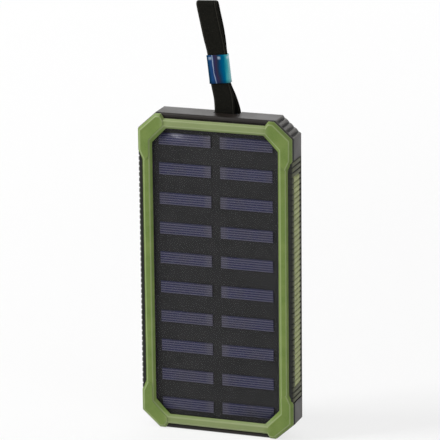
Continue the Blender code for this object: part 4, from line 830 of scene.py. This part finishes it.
# %% Short calls for building a node group
class Group:
    """A new geometry node group with short calls for its sockets, nodes and links."""

    def __init__(self, name, inputs):
        self.tree = bpy.data.node_groups.new(name, "GeometryNodeTree")
        self.tree.interface.new_socket(name="Geometry", in_out="OUTPUT", socket_type="NodeSocketGeometry")
        self.ids = {}
        for label, kind in {"Geometry": "NodeSocketGeometry", **inputs}.items():
            made = self.tree.interface.new_socket(name=label, in_out="INPUT", socket_type=kind)
            self.ids[label] = made.identifier
        self.entry = self.tree.nodes.new("NodeGroupInput")
        self.exit = self.tree.nodes.new("NodeGroupOutput")

    def take(self, label):
        return self.entry.outputs[label]

    def add(self, kind, inputs=None, **settings):
        made = self.tree.nodes.new(kind)
        for key, value in settings.items():
            setattr(made, key, value)
        for key, value in (inputs or {}).items():
            if isinstance(value, bpy.types.NodeSocket):
                self.tree.links.new(value, made.inputs[key])
            else:
                made.inputs[key].default_value = value
        return made.outputs[0] if made.outputs else made

    def end(self, geometry):
        real = self.add("GeometryNodeRealizeInstances", {"Geometry": geometry})
        done = self.add("GeometryNodeSetMaterial", {"Geometry": real, "Material": self.take("Material")})
        self.tree.links.new(done, self.exit.inputs[0])

    def apply(self, made, **values):
        """Runs the group on an object with these inputs, then bakes the result."""
        modifier = made.modifiers.new(self.tree.name, "NODES")
        modifier.node_group = self.tree
        for label, value in values.items():
            modifier[self.ids[label.replace("_", " ")]] = value
        return baked(made)


FLOAT, WHOLE, SPOT, FINISH = "NodeSocketFloat", "NodeSocketInt", "NodeSocketVector", "NodeSocketMaterial"
print("a group ends in Realize Instances and Set Material")

# %% A row of copies
def place_in_row(group, shape):
    """Puts copies of a shape on a line of points, Count of them, each a Step from the last."""
    steps = {"Count": group.take("Count"), "Offset": group.take("Step")}
    line = group.add("GeometryNodeMeshLine", steps, mode="OFFSET")
    group.end(group.add("GeometryNodeInstanceOnPoints", {"Points": line, "Instance": shape}))


def make_row_group():
    """Copies of the input geometry at an even step."""
    group = Group("row_of_copies", {"Count": WHOLE, "Step": SPOT, "Material": FINISH})
    place_in_row(group, group.take("Geometry"))
    return group


ROW = make_row_group()
print("row group inputs:", list(ROW.ids))

# %% A row of ribs
def make_rib_group():
    """A rounded trapezoid swept along the object's own path, then repeated up the grip."""
    group = Group("rib_row", {
        "Count": WHOLE, "Step": SPOT, "Root Width": FLOAT, "Crest Width": FLOAT, "Height": FLOAT,
        "Round": FLOAT, "Turn": SPOT, "Material": FINISH,
    })
    profile = group.add("GeometryNodeCurvePrimitiveQuadrilateral", {
        "Bottom Width": group.take("Root Width"), "Top Width": group.take("Crest Width"),
        "Height": group.take("Height"), "Offset": 0.0,
    }, mode="TRAPEZOID")
    profile = group.add("GeometryNodeFilletCurve", {
        "Curve": profile, "Count": 3, "Radius": group.take("Round"), "Limit Radius": True,
    }, mode="POLY")
    profile = group.add("GeometryNodeTransform", {"Geometry": profile, "Rotation": group.take("Turn")})
    path = group.add("GeometryNodeMeshToCurve", {"Mesh": group.take("Geometry")})
    rib = group.add("GeometryNodeCurveToMesh", {"Curve": path, "Profile Curve": profile, "Fill Caps": True})
    place_in_row(group, rib)
    return group


RIBS = make_rib_group()
print("rib group inputs:", list(RIBS.ids))

# %% [markdown]
# ## Ribbed grips
#
# Each side has a black rubber trim with a green insert in its window. The rib's path runs over the rounded front
# edge and then straight back, so the black ribs show as teeth along the front edge. The insert's ribs line up
# with the trim's, as they do where one tool cuts both.

# %% Sizes of the ribs
RIB_PITCH = 2.6 * MM
RIB_HEIGHT, INSERT_RIB_HEIGHT = 0.5 * MM, 0.28 * MM
RIB_SINK = 0.12 * MM
RIB_ROOT, RIB_CREST, INSERT_WIDER = 2.0 * MM, 1.45 * MM, 0.3 * MM
RIB_ROUND = 0.16 * MM
EDGE = 1.0 * MM
GRIP_GAP = 0.15 * MM
print(f"ribs {RIB_HEIGHT / MM} mm high, one every {RIB_PITCH / MM} mm")

# %% Ribs along a path
def path_object(name, points):
    """An object that holds only a line of points, for the rib group to sweep along."""
    mesh = bpy.data.meshes.new(name)
    mesh.from_pydata(points, [(i, i + 1) for i in range(len(points) - 1)], [])
    made = bpy.data.objects.new(name, mesh)
    bpy.context.scene.collection.objects.link(made)
    return made


def rib_row(name, points, first_z, count, material, side, height=RIB_HEIGHT, wider=0.0):
    """Ribs along a path of (x, y) points, the first of them at first_z. The path is the middle of the rib's height."""
    made = path_object(name, [(x, y, first_z) for x, y in points])
    RIBS.apply(
        made, Count=count, Step=(0.0, 0.0, RIB_PITCH), Root_Width=RIB_ROOT + wider, Crest_Width=RIB_CREST + wider,
        Height=height + RIB_SINK, Round=RIB_ROUND, Turn=(0.0, 0.0, side * math.pi / 2), Material=MATERIALS[material],
    )
    # painted highlight: the crests turn pale from just behind the front
    pale_from, pale_over = FRONT + 1.2 * MM, 0.8 * MM
    marks = made.data.attributes.new("edge", "FLOAT", "POINT")
    marks.data.foreach_set("value", [ease((vert.co.y - pale_from) / pale_over) for vert in made.data.vertices])
    return made


print("a rib's path is swept by", RIBS.tree.name)

# %% Strips under the ribs
def slab(name, side, toe, face, front, back, low, high, edge, material):
    """A flat strip of rubber whose outer front edge is rounded."""
    outline = [Vector((side * toe, front)), Vector((side * (face - edge), front)), Vector((side * face, front + edge)),
               Vector((side * face, back)), Vector((side * toe, back))]
    if edge == 0.0:
        outline.pop(1)
    flat = rounded(outline, [0.05 * MM] + [0.3 * MM] * (len(outline) - 3) + [0.05 * MM] * 2, 3)
    return piece(name, loft([[(p.x, p.y, z) for p in flat] for z in (low, high)], caps=True), material)


print(f"a strip's outer edge is rounded over up to {EDGE / MM} mm")

# %% Rows of one grip
def rib_heights(low_z, high_z, window_low, window_high):
    """Heights of the ribs from end to end, sorted into those below, beside and above the window."""
    count = int((high_z - low_z) / RIB_PITCH)
    first = MIDDLE - (count - 1) * RIB_PITCH / 2
    rows = [first + i * RIB_PITCH for i in range(count)]
    below = [z for z in rows if z <= window_low + RIB_ROOT / 2]
    beside = [z for z in rows if window_low + RIB_ROOT / 2 < z < window_high - RIB_ROOT / 2]
    above = [z for z in rows if z >= window_high - RIB_ROOT / 2]
    return below, beside, above


def make_trim(side, label, window, rows):
    """The black trim: strips round the window, and ribs that stop at the window or run past its ends."""
    low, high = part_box(f"grip_trim_{label}")
    crest, toe = max(abs(low.x), abs(high.x)), min(abs(low.x), abs(high.x))
    insert_low, insert_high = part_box(f"grip_insert_{label}")
    heel = min(abs(insert_low.x), abs(insert_high.x))
    root = crest - RIB_HEIGHT
    front, back = low.y, high.y
    split = min(SHELL_LOW.y - GRIP_GAP, window[0])
    strips = (
        ("band_front", toe, front, split, low.z, high.z, EDGE - 0.35 * MM),
        ("band_mid", heel, split, window[0], low.z, high.z, 0.0),
        ("band_back", heel, window[1], back, low.z, high.z, 0.0),
        ("band_low", heel, window[0], window[1], low.z, window[2], 0.0),
        ("band_high", heel, window[0], window[1], window[3], high.z, 0.0),
    )
    parts = [slab(name, side, inner, root, y0, y1, z0, z1, edge, "black_rubber")
             for name, inner, y0, y1, z0, z1, edge in strips]
    middle = side * (crest - (RIB_HEIGHT + RIB_SINK) / 2)
    over = [(middle - side * EDGE, front + 0.03 * MM), (middle - side * EDGE * 0.4, front + EDGE * 0.35),
            (middle, front + EDGE)]
    below, beside, above = rows
    for name, path, heights in (
        ("ribs_front", over + [(middle, window[0])], beside),
        ("ribs_back", [(middle, window[1]), (middle, back)], beside),
        ("ribs_end", over + [(middle, back)], below),
        ("ribs_end", over + [(middle, back)], above),
    ):
        parts.append(rib_row(name, path, heights[0], len(heights), "black_rubber", side))
    return join(f"grip_{label}_trim", parts)


def make_insert(side, label, heights):
    """The green insert: one strip, with ribs that line up with the trim's."""
    low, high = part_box(f"grip_insert_{label}")
    heel = min(abs(low.x), abs(high.x))
    trim_low, trim_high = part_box(f"grip_trim_{label}")
    crest = max(abs(trim_low.x), abs(trim_high.x))
    middle = side * (crest - (INSERT_RIB_HEIGHT + RIB_SINK) / 2)
    strip = slab("insert", side, heel, crest - INSERT_RIB_HEIGHT, low.y, high.y, low.z, high.z, 0.0, "green_rubber")
    ribs = rib_row("ribs_insert", [(middle, low.y), (middle, high.y)], heights[0], len(heights), "green_rubber", side,
                   INSERT_RIB_HEIGHT, INSERT_WIDER)
    return join(f"grip_{label}_insert", [strip, ribs])


print("ribs past the window's ends run from front to back")

# %% Grips
def make_grip(side, label):
    low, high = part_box(f"grip_trim_{label}")
    insert_low, insert_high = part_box(f"grip_insert_{label}")
    window = (insert_low.y - GRIP_GAP, insert_high.y + GRIP_GAP, insert_low.z - GRIP_GAP, insert_high.z + GRIP_GAP)
    rows = rib_heights(low.z, high.z, window[2], window[3])
    trim = make_trim(side, label, window, rows)
    insert = make_insert(side, label, rows[1])
    for made, node, slot in (
        (trim, f"grip_trim_{label}", "black_rubber"), (insert, f"grip_insert_{label}", "green_rubber"),
    ):
        made.data.shade_smooth()
        made.data.set_sharp_from_angle(angle=SHARP)
        stands_for(made, node, "housing")
    faces = len(trim.data.polygons) + len(insert.data.polygons)
    print(label, "grip:", sum(len(heights) for heights in rows), "ribs,", faces, "faces")


make_grip(1, "right")
make_grip(-1, "left")

# %% [markdown]
# ## Solar panel
#
# One cell is a thin plate with rounded edges and its own UV. Ten copies make a column. The end cells are then cut
# along the window's slanted corners, which leaves the shape that the panel's maker cuts them to.

# %% One cell
CELL_ROWS = 10
CELL_HEIGHT = 5.7 * MM
CELL_ROUND = 0.06 * MM
WINDOW_PLAY = 0.55 * MM


def make_cell(side, label, low, high, middle):
    """A thin plate between low and high, at the height middle. Its UV runs along it (U) and across it (V)."""
    form = bmesh.new()
    uv = form.loops.layers.uv.new("UVMap")
    half = CELL_HEIGHT / 2
    rings = []
    for y, grow in ((high.y, 0.0), (low.y + CELL_ROUND, 0.0), (low.y, -CELL_ROUND)):
        rings.append([form.verts.new((x, y, z)) for x, z in (
            (low.x - grow, middle - half - grow), (high.x + grow, middle - half - grow),
            (high.x + grow, middle + half + grow), (low.x - grow, middle + half + grow),
        )])
    for near, far in zip(rings, rings[1:]):
        for k in range(4):
            form.faces.new((near[k - 1], near[k], far[k], far[k - 1]))
    form.faces.new(rings[0])
    form.faces.new(rings[-1])
    for face in form.faces:
        for loop in face.loops:
            co = loop.vert.co
            along = (co.x - low.x) / (high.x - low.x)
            loop[uv].uv = (along if side < 0 else 1.0 - along, (co.z - middle) / CELL_HEIGHT + 0.5)
    return piece(f"cells_{label}", form, "solar_cell")


print(f"a cell is {CELL_HEIGHT / MM} mm high")

# %% Columns of cells
def cut_to_window(made, side):
    """Cuts the end cells along the window's slanted corners and closes the cuts."""
    form = bmesh.new()
    form.from_mesh(made.data)
    window_half = COVER_HALF - WINDOW_PLAY
    reach = COVER_HIGH.z - MIDDLE - WINDOW_PLAY
    for up in (-1, 1):
        a = Vector((side * (window_half - WINDOW_RUN), 0.0, MIDDLE + up * reach))
        b = Vector((side * window_half, 0.0, MIDDLE + up * (reach - WINDOW_RISE)))
        outward = Vector((side * WINDOW_RISE, 0.0, up * WINDOW_RUN)).normalized()
        everything = form.verts[:] + form.edges[:] + form.faces[:]
        cut = bmesh.ops.bisect_plane(
            form, geom=everything, plane_co=(a + b) / 2, plane_no=outward, clear_outer=True,
        )
        edges = [e for e in cut["geom_cut"] if isinstance(e, bmesh.types.BMEdge)]
        bmesh.ops.holes_fill(form, edges=edges)
    form.to_mesh(made.data)
    form.free()


def make_cells(side, label):
    low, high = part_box(f"cell_string_{label}")
    # the solid's ends are the end cells' outer edges
    first, last = low.z + CELL_HEIGHT / 2, high.z - CELL_HEIGHT / 2
    pitch = (last - first) / (CELL_ROWS - 1)
    made = make_cell(side, label, low, high, first)
    ROW.apply(made, Count=CELL_ROWS, Step=(0.0, 0.0, pitch), Material=MATERIALS["solar_cell"])
    cut_to_window(made, side)
    stands_for(made, f"cell_string_{label}", "housing")
    print(label, f"cells: pitch {pitch / MM:.2f} mm, {len(made.data.polygons)} faces")


make_cells(-1, "left")
make_cells(1, "right")

# %% [markdown]
# ## Strap and ferrule
#
# The strap is one length of narrow webbing, doubled: up the front, over a fold at the top, down the back and round
# the bar. Its section is a flat rounded strip, carried round that loop. The path is the same as the solid's, with
# more steps, and the UV is laid out as the webbing would lie flat, so the weave never stretches.

# %% Sizes of the strap
BAR_LOW, BAR_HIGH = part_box("lanyard_bar")
BAR = (BAR_LOW + BAR_HIGH) / 2
BAR_RADIUS = (BAR_HIGH.z - BAR_LOW.z) / 2
FERRULE_LOW, FERRULE_HEIGHT = 15.3 * MM, 13.5 * MM
STRAP_WIDTH, STRAP_GATHERED, STRAP_THICK = 9.8 * MM, 9.3 * MM, 1.0 * MM
STRAP_TOP = 54.0 * MM
STRAND_SPREAD = 1.7 * MM
FOLD_HALF = 1.6 * MM
CLOSE = 0.15 * MM
STRAP_RADIUS = BAR_RADIUS + CLOSE + STRAP_THICK / 2
LEAN = [(z * MM, x * MM) for z, x in (
    (-2.0, 3.1), (1.5, 3.0), (8.0, 1.8), (15.3, -0.3), (28.8, -1.8), (40.0, -3.8), (49.0, -5.7), (54.0, -6.7),
)]
print(f"the strap stands {STRAP_TOP / MM:.0f} mm above its bar")

# %% Path of the strap
def lean_at(height):
    """How far sideways the strap stands at a height above the bar, on a smooth curve through LEAN."""
    for i in range(len(LEAN) - 1):
        (z0, x0), (z1, x1) = LEAN[i], LEAN[i + 1]
        if height <= z1 or i == len(LEAN) - 2:
            break
    before, after = LEAN[max(i - 1, 0)], LEAN[min(i + 2, len(LEAN) - 1)]
    slope_in, slope_out = (x1 - before[1]) / (z1 - before[0]), (after[1] - x0) / (after[0] - z0)
    span = z1 - z0
    t = (height - z0) / span
    return ((2 * t**3 - 3 * t**2 + 1) * x0 + (t**3 - 2 * t**2 + t) * span * slope_in
            + (-2 * t**3 + 3 * t**2) * x1 + (t**3 - t**2) * span * slope_out)


def strand_offset(rise):
    """How far a strand lies from the loop's middle: apart at the bar, pressed in the ferrule, open at the fold."""
    pressed = (STRAP_THICK + CLOSE) / 2
    if rise < FERRULE_LOW:
        return STRAP_RADIUS + (pressed - STRAP_RADIUS) * ease(rise / FERRULE_LOW)
    return pressed + (FOLD_HALF - pressed) * ease((rise - FERRULE_LOW - FERRULE_HEIGHT) / FERRULE_HEIGHT)


def strap_path(steps=90, arc=20):
    """The loop as (depth, rise) from the bar's middle: up the front, over the fold, down the back, round the bar."""
    fold = STRAP_TOP - STRAP_THICK / 2 - FOLD_HALF
    up = [(-strand_offset(fold * i / steps), fold * i / steps) for i in range(steps + 1)]
    turns = [math.pi * i / arc for i in range(1, arc)]
    top = [(-FOLD_HALF * math.cos(a), fold + FOLD_HALF * math.sin(a)) for a in turns]
    down = [(-depth, rise) for depth, rise in reversed(up)]
    under = [(STRAP_RADIUS * math.cos(a), -STRAP_RADIUS * math.sin(a)) for a in turns]
    return up + top + down + under


def webbing_section():
    """The webbing's section, one unit wide and one thick, with rounded sides."""
    side = [(-0.5, -0.25), (-0.47, -0.42), (-0.44, -0.5)] + [(k / 8 * 0.88 - 0.44, -0.5) for k in range(1, 8)]
    side += [(0.44, -0.5), (0.47, -0.42), (0.5, -0.25)]
    return side + [(-u, -v) for u, v in side]


print("strap path:", len(strap_path()), "points, section:", len(webbing_section()), "points")

# %% Strap
def webbing_ring(section, before, here, after):
    """The section's points at one place of the path, turned with the path and the strap's lean."""
    depth, rise = here
    run = Vector((after[0] - before[0], after[1] - before[1])).normalized()
    normal = Vector((0.0, run.y, -run.x)) * STRAP_THICK
    step = STRAP_THICK
    tilt = (lean_at(rise - step) - lean_at(rise + step)) / (2 * step)
    level = 0.75 * ease((rise - step) / STRAP_TOP)
    across = Vector((1.0, 0.0, tilt * (1 - level))).normalized()
    in_ferrule = ease((rise - FERRULE_LOW / 2) / (FERRULE_LOW / 2))
    in_ferrule *= 1 - ease((rise - FERRULE_LOW - FERRULE_HEIGHT) / (FERRULE_LOW / 2))
    width = STRAP_WIDTH + (STRAP_GATHERED - STRAP_WIDTH) * in_ferrule
    apart = STRAND_SPREAD / 2 * depth / STRAP_RADIUS * (1 - ease(rise / FERRULE_LOW))
    middle = Vector((lean_at(rise) + apart, BAR.y + depth, BAR.z + rise))
    return [middle + across * u * width + normal * v for u, v in section]


def make_strap():
    path, section = strap_path(), webbing_section()
    rings, lengths = [], [0.0]
    for i, here in enumerate(path):
        after = path[(i + 1) % len(path)]
        rings.append(webbing_ring(section, path[i - 1], here, after))
        lengths.append(lengths[-1] + math.dist(here, after))
    form = bmesh.new()
    uv = form.loops.layers.uv.new("UVMap")
    rows = [[form.verts.new(point) for point in ring] for ring in rings]
    for i, near in enumerate(rows):
        far = rows[(i + 1) % len(rows)]
        for k in range(len(section)):
            face = form.faces.new((near[k - 1], near[k], far[k], far[k - 1]))
            for loop, (u, v) in zip(face.loops, ((k - 1, i), (k, i), (k, i + 1), (k - 1, i + 1))):
                loop[uv].uv = (section[u][0] * STRAP_WIDTH / MM, lengths[v] / MM)
    made = piece("strap_webbing", form, "black_webbing", angle=0.9)
    stands_for(made, "lanyard_strap", "strap")
    return made, lengths[-1]


strap, strap_length = make_strap()
print(f"strap: {strap_length / MM:.0f} mm of webbing in the loop")

# %% [markdown]
# The ferrule is a short metal tube squeezed round both strands. Its ends roll outward a little, and its broad faces
# are slightly dished where the tool pressed them.

# %% Rings of the ferrule
FERRULE_WALL = 0.35 * MM
FERRULE_DISH = 0.05 * MM
FERRULE_INSIDE = (STRAP_GATHERED + 0.3 * MM, STRAP_THICK * 2 + CLOSE * 3)
FERRULE_STATIONS = (-1.0, -0.985, -0.95, -0.90, -0.84, -0.6, -0.3, 0.0, 0.3, 0.6, 0.84, 0.90, 0.95, 0.985, 1.0)


def ferrule_ring(grow, z, radius, dish=0.0):
    """A rounded rectangle that is grow larger than the tube's inside. dish draws its long sides in."""
    width, depth = FERRULE_INSIDE[0] / 2 + grow, FERRULE_INSIDE[1] / 2 + grow
    corners = ((-width, -depth), (0, -depth + dish), (width, -depth),
               (width, depth), (0, depth - dish), (-width, depth))
    flat = rounded([Vector(c) for c in corners], [radius, 3 * MM, radius, radius, 3 * MM, radius], 6)
    return [(p.x, p.y, z) for p in flat]


def ferrule_rings():
    """From end to end outside, then back inside."""
    half = FERRULE_HEIGHT / 2
    rings = []
    for t in FERRULE_STATIONS:
        rolled = max(0.0, (abs(t) - 0.84) / 0.16)
        round_off = 0.12 * MM * max(0.0, (abs(t) - 0.97) / 0.03) ** 2
        grow = FERRULE_WALL - round_off - 0.09 * MM * (1 - rolled)
        rings.append(ferrule_ring(grow, half * t, 0.45 * MM, FERRULE_DISH * (1 - abs(t))))
    return rings + [ferrule_ring(0.02 * MM, half * t, 0.2 * MM) for t in (0.99, -0.99)]


print(f"ferrule: {FERRULE_HEIGHT / MM} mm long, wall {FERRULE_WALL / MM} mm")

# %% Ferrule
def make_ferrule():
    made = piece("ferrule_tube", loft(ferrule_rings(), closed=True), "anodised_blue")
    reach = FERRULE_INSIDE[0] / 2 + FERRULE_WALL
    across = made.data.attributes.new("across", "FLOAT", "POINT")
    across.data.foreach_set("value", [0.5 + vert.co.x / reach / 2 for vert in made.data.vertices])
    up = made.data.attributes.new("up", "FLOAT", "POINT")
    up.data.foreach_set("value", [0.5 + vert.co.z / FERRULE_HEIGHT for vert in made.data.vertices])
    low_x, high_x = lean_at(FERRULE_LOW), lean_at(FERRULE_LOW + FERRULE_HEIGHT)
    turn = Matrix.Rotation(math.atan2(high_x - low_x, FERRULE_HEIGHT), 4, "Y")
    middle = Matrix.Translation(((low_x + high_x) / 2, BAR.y, BAR.z + FERRULE_LOW + FERRULE_HEIGHT / 2))
    made.data.transform(middle @ turn)
    stands_for(made, "lanyard_ferrule", "strap")
    return made


ferrule = make_ferrule()
print("ferrule:", len(ferrule.data.polygons), "faces")

# %% [markdown]

# %% [markdown]
# ## The other solids
#
# Every solid that keeps its own mesh gets the material of its slot in the record. The board behind the cells shares
# its slot with other black plastic, and it is a board, so it gets its own.

# %% Materials on the solids
SLOTS = {subpart["node"]: subpart["material_slot"] for subpart in frame["record"]["subparts"]}
for name, node in NODES.items():
    node.data.materials.clear()
    node.data.materials.append(MATERIALS["panel_backing" if name == "panel_board" else SLOTS[name]])
    for face in node.data.polygons:
        face.material_index = 0
print(len(NODES), "solids have their own finish")

# %% [markdown]
# ## Stage, light and camera
#
# The floor and backdrop are one pale sheet that bends up far behind the object. Its material adds some white light of
# its own for rays from the camera and from mirrors, so that it looks white, and keeps the rest for the shadow. Far
# from the object there is no shadow to keep, so there the white is full and no horizon shows.

# %% Floor material
def floor_white():
    graph = Graph("floor_white", 0.9, Specular_IOR_Level=0.1)
    slow = graph.noise(1.2, 2.0)
    pale, paler = (0.93, 0.93, 0.93), (0.95, 0.95, 0.95)
    graph.colour(graph.mix(graph.range(slow, 0.3, 0.7, 0.0, 1.0), pale, paler))
    glow = graph.add("ShaderNodeEmission", {"Strength": 1.0})
    rays = graph.add("ShaderNodeLightPath").outputs
    mirrored = graph.math("ADD", rays["Is Glossy Ray"], rays["Is Transmission Ray"])
    direct = graph.math("MINIMUM", graph.math("ADD", rays["Is Camera Ray"], mirrored), 1.0)
    away = graph.add("ShaderNodeVectorMath", {0: graph.where}, operation="LENGTH").outputs["Value"]
    white = graph.math("MULTIPLY", direct, graph.range(away, 0.35, 1.1, 0.75, 1.0))
    blend = graph.add("ShaderNodeMixShader", {0: white, 1: graph.shader.outputs[0], 2: glow.outputs[0]})
    graph.tree.links.new(blend.outputs[0], graph.tree.nodes["Material Output"].inputs["Surface"])
    return graph.material


print("the floor is full white from 1.1 m away")

# %% Floor
FLOOR_FRONT, FLOOR_BEND, BEND_RADIUS, BACKDROP_TOP, FLOOR_SIDE = -3.0, 1.2, 0.8, 4.0, 4.0


def make_floor():
    form = bmesh.new()
    turns = [math.pi / 2 * k / 12 for k in range(13)]
    bend = [(FLOOR_BEND + BEND_RADIUS * math.sin(a), BEND_RADIUS - BEND_RADIUS * math.cos(a)) for a in turns]
    profile = [(FLOOR_FRONT, 0.0)] + bend + [(FLOOR_BEND + BEND_RADIUS, BACKDROP_TOP)]
    rows = [[form.verts.new((x, y, z)) for y, z in profile] for x in (-FLOOR_SIDE, FLOOR_SIDE)]
    for k in range(1, len(profile)):
        form.faces.new((rows[0][k - 1], rows[0][k], rows[1][k], rows[1][k - 1]))
    mesh = bpy.data.meshes.new("floor")
    bmesh.ops.recalc_face_normals(form, faces=form.faces)
    form.to_mesh(mesh)
    form.free()
    made = bpy.data.objects.new("floor", mesh)
    bpy.context.scene.collection.objects.link(made)
    mesh.materials.append(floor_white())
    mesh.shade_smooth()
    return made


floor = make_floor()
print("floor:", len(floor.data.polygons), "faces")

# %% [markdown]
# Three soft lights give the flats and bevels different brightness. The key stands high on the left, the fill is faint
# and on the right, and a wide one behind makes the sheen on the black top face.

# %% Lights
def area_light(name, place, target, size, power):
    light = bpy.data.lights.new(name, "AREA")
    light.shape = "RECTANGLE"
    light.size, light.size_y = size
    light.energy = power
    made = bpy.data.objects.new(name, light)
    made.location = place
    made.rotation_euler = (Vector(target) - Vector(place)).to_track_quat("-Z", "Y").to_euler()
    bpy.context.scene.collection.objects.link(made)
    return made


area_light("key", (-1.5, -0.75, 1.25), (0.0, 0.0, 0.08), (0.7, 0.7), 34.0)
area_light("fill", (1.5, -0.9, 0.7), (0.0, 0.0, 0.08), (0.8, 1.0), 3.0)
area_light("back", (-0.3, 1.1, 0.75), (0.0, 0.0, 0.15), (1.6, 0.8), 4.0)

# %% [markdown]
# The world is an even white surround. It lights the object softly at SURROUND, but the camera, mirrors and clear
# pieces see it as full white.

# %% World
SURROUND = 0.32


def background(tree, strength):
    made = tree.nodes.new("ShaderNodeBackground")
    made.inputs["Color"].default_value = (1.0, 1.0, 1.0, 1.0)
    made.inputs["Strength"].default_value = strength
    return made.outputs[0]


def make_world():
    world = bpy.context.scene.world or bpy.data.worlds.new("world")
    bpy.context.scene.world = world
    world.use_nodes = True
    tree = world.node_tree
    tree.nodes.clear()
    rays = tree.nodes.new("ShaderNodeLightPath").outputs
    seen = rays["Is Camera Ray"]
    for ray in ("Is Glossy Ray", "Is Transmission Ray"):
        add = tree.nodes.new("ShaderNodeMath")
        add.operation = "ADD"
        add.use_clamp = True
        tree.links.new(seen, add.inputs[0])
        tree.links.new(rays[ray], add.inputs[1])
        seen = add.outputs[0]
    choose = tree.nodes.new("ShaderNodeMixShader")
    for socket, source in enumerate((seen, background(tree, SURROUND), background(tree, 1.0))):
        tree.links.new(source, choose.inputs[socket])
    tree.links.new(choose.outputs[0], tree.nodes.new("ShaderNodeOutputWorld").inputs["Surface"])


make_world()
bpy.context.scene.view_settings.view_transform = "Standard"
print("world:", SURROUND, "on the object, 1.0 where it is seen")

# %% [markdown]
# The camera stands right of the object and above it, far off with a long lens, so upright edges stay nearly
# parallel. Its place and turn were solved from the corners of the bezel, with heights counted from a level a little
# above the floor. RAISED is the height of that level.

# %% Camera
camera = bpy.data.objects.new("camera", bpy.data.cameras.new("camera"))
camera.data.lens = 267.17
camera.data.sensor_width = 36.0
right, up, back = (0.944034, 0.329677, -0.010577), (-0.080882, 0.262457, 0.961548), (0.319777, -0.906879, 0.274433)
turn = Matrix((right, up, back)).transposed().to_4x4()
RAISED = PAD_MARGIN + 0.9 * MM
camera.matrix_world = Matrix.Translation((0.487846, -1.384139, 0.520828 + RAISED)) @ turn
bpy.context.scene.collection.objects.link(camera)
bpy.context.scene.camera = camera
print("camera:", [round(value, 3) for value in camera.matrix_world.translation])
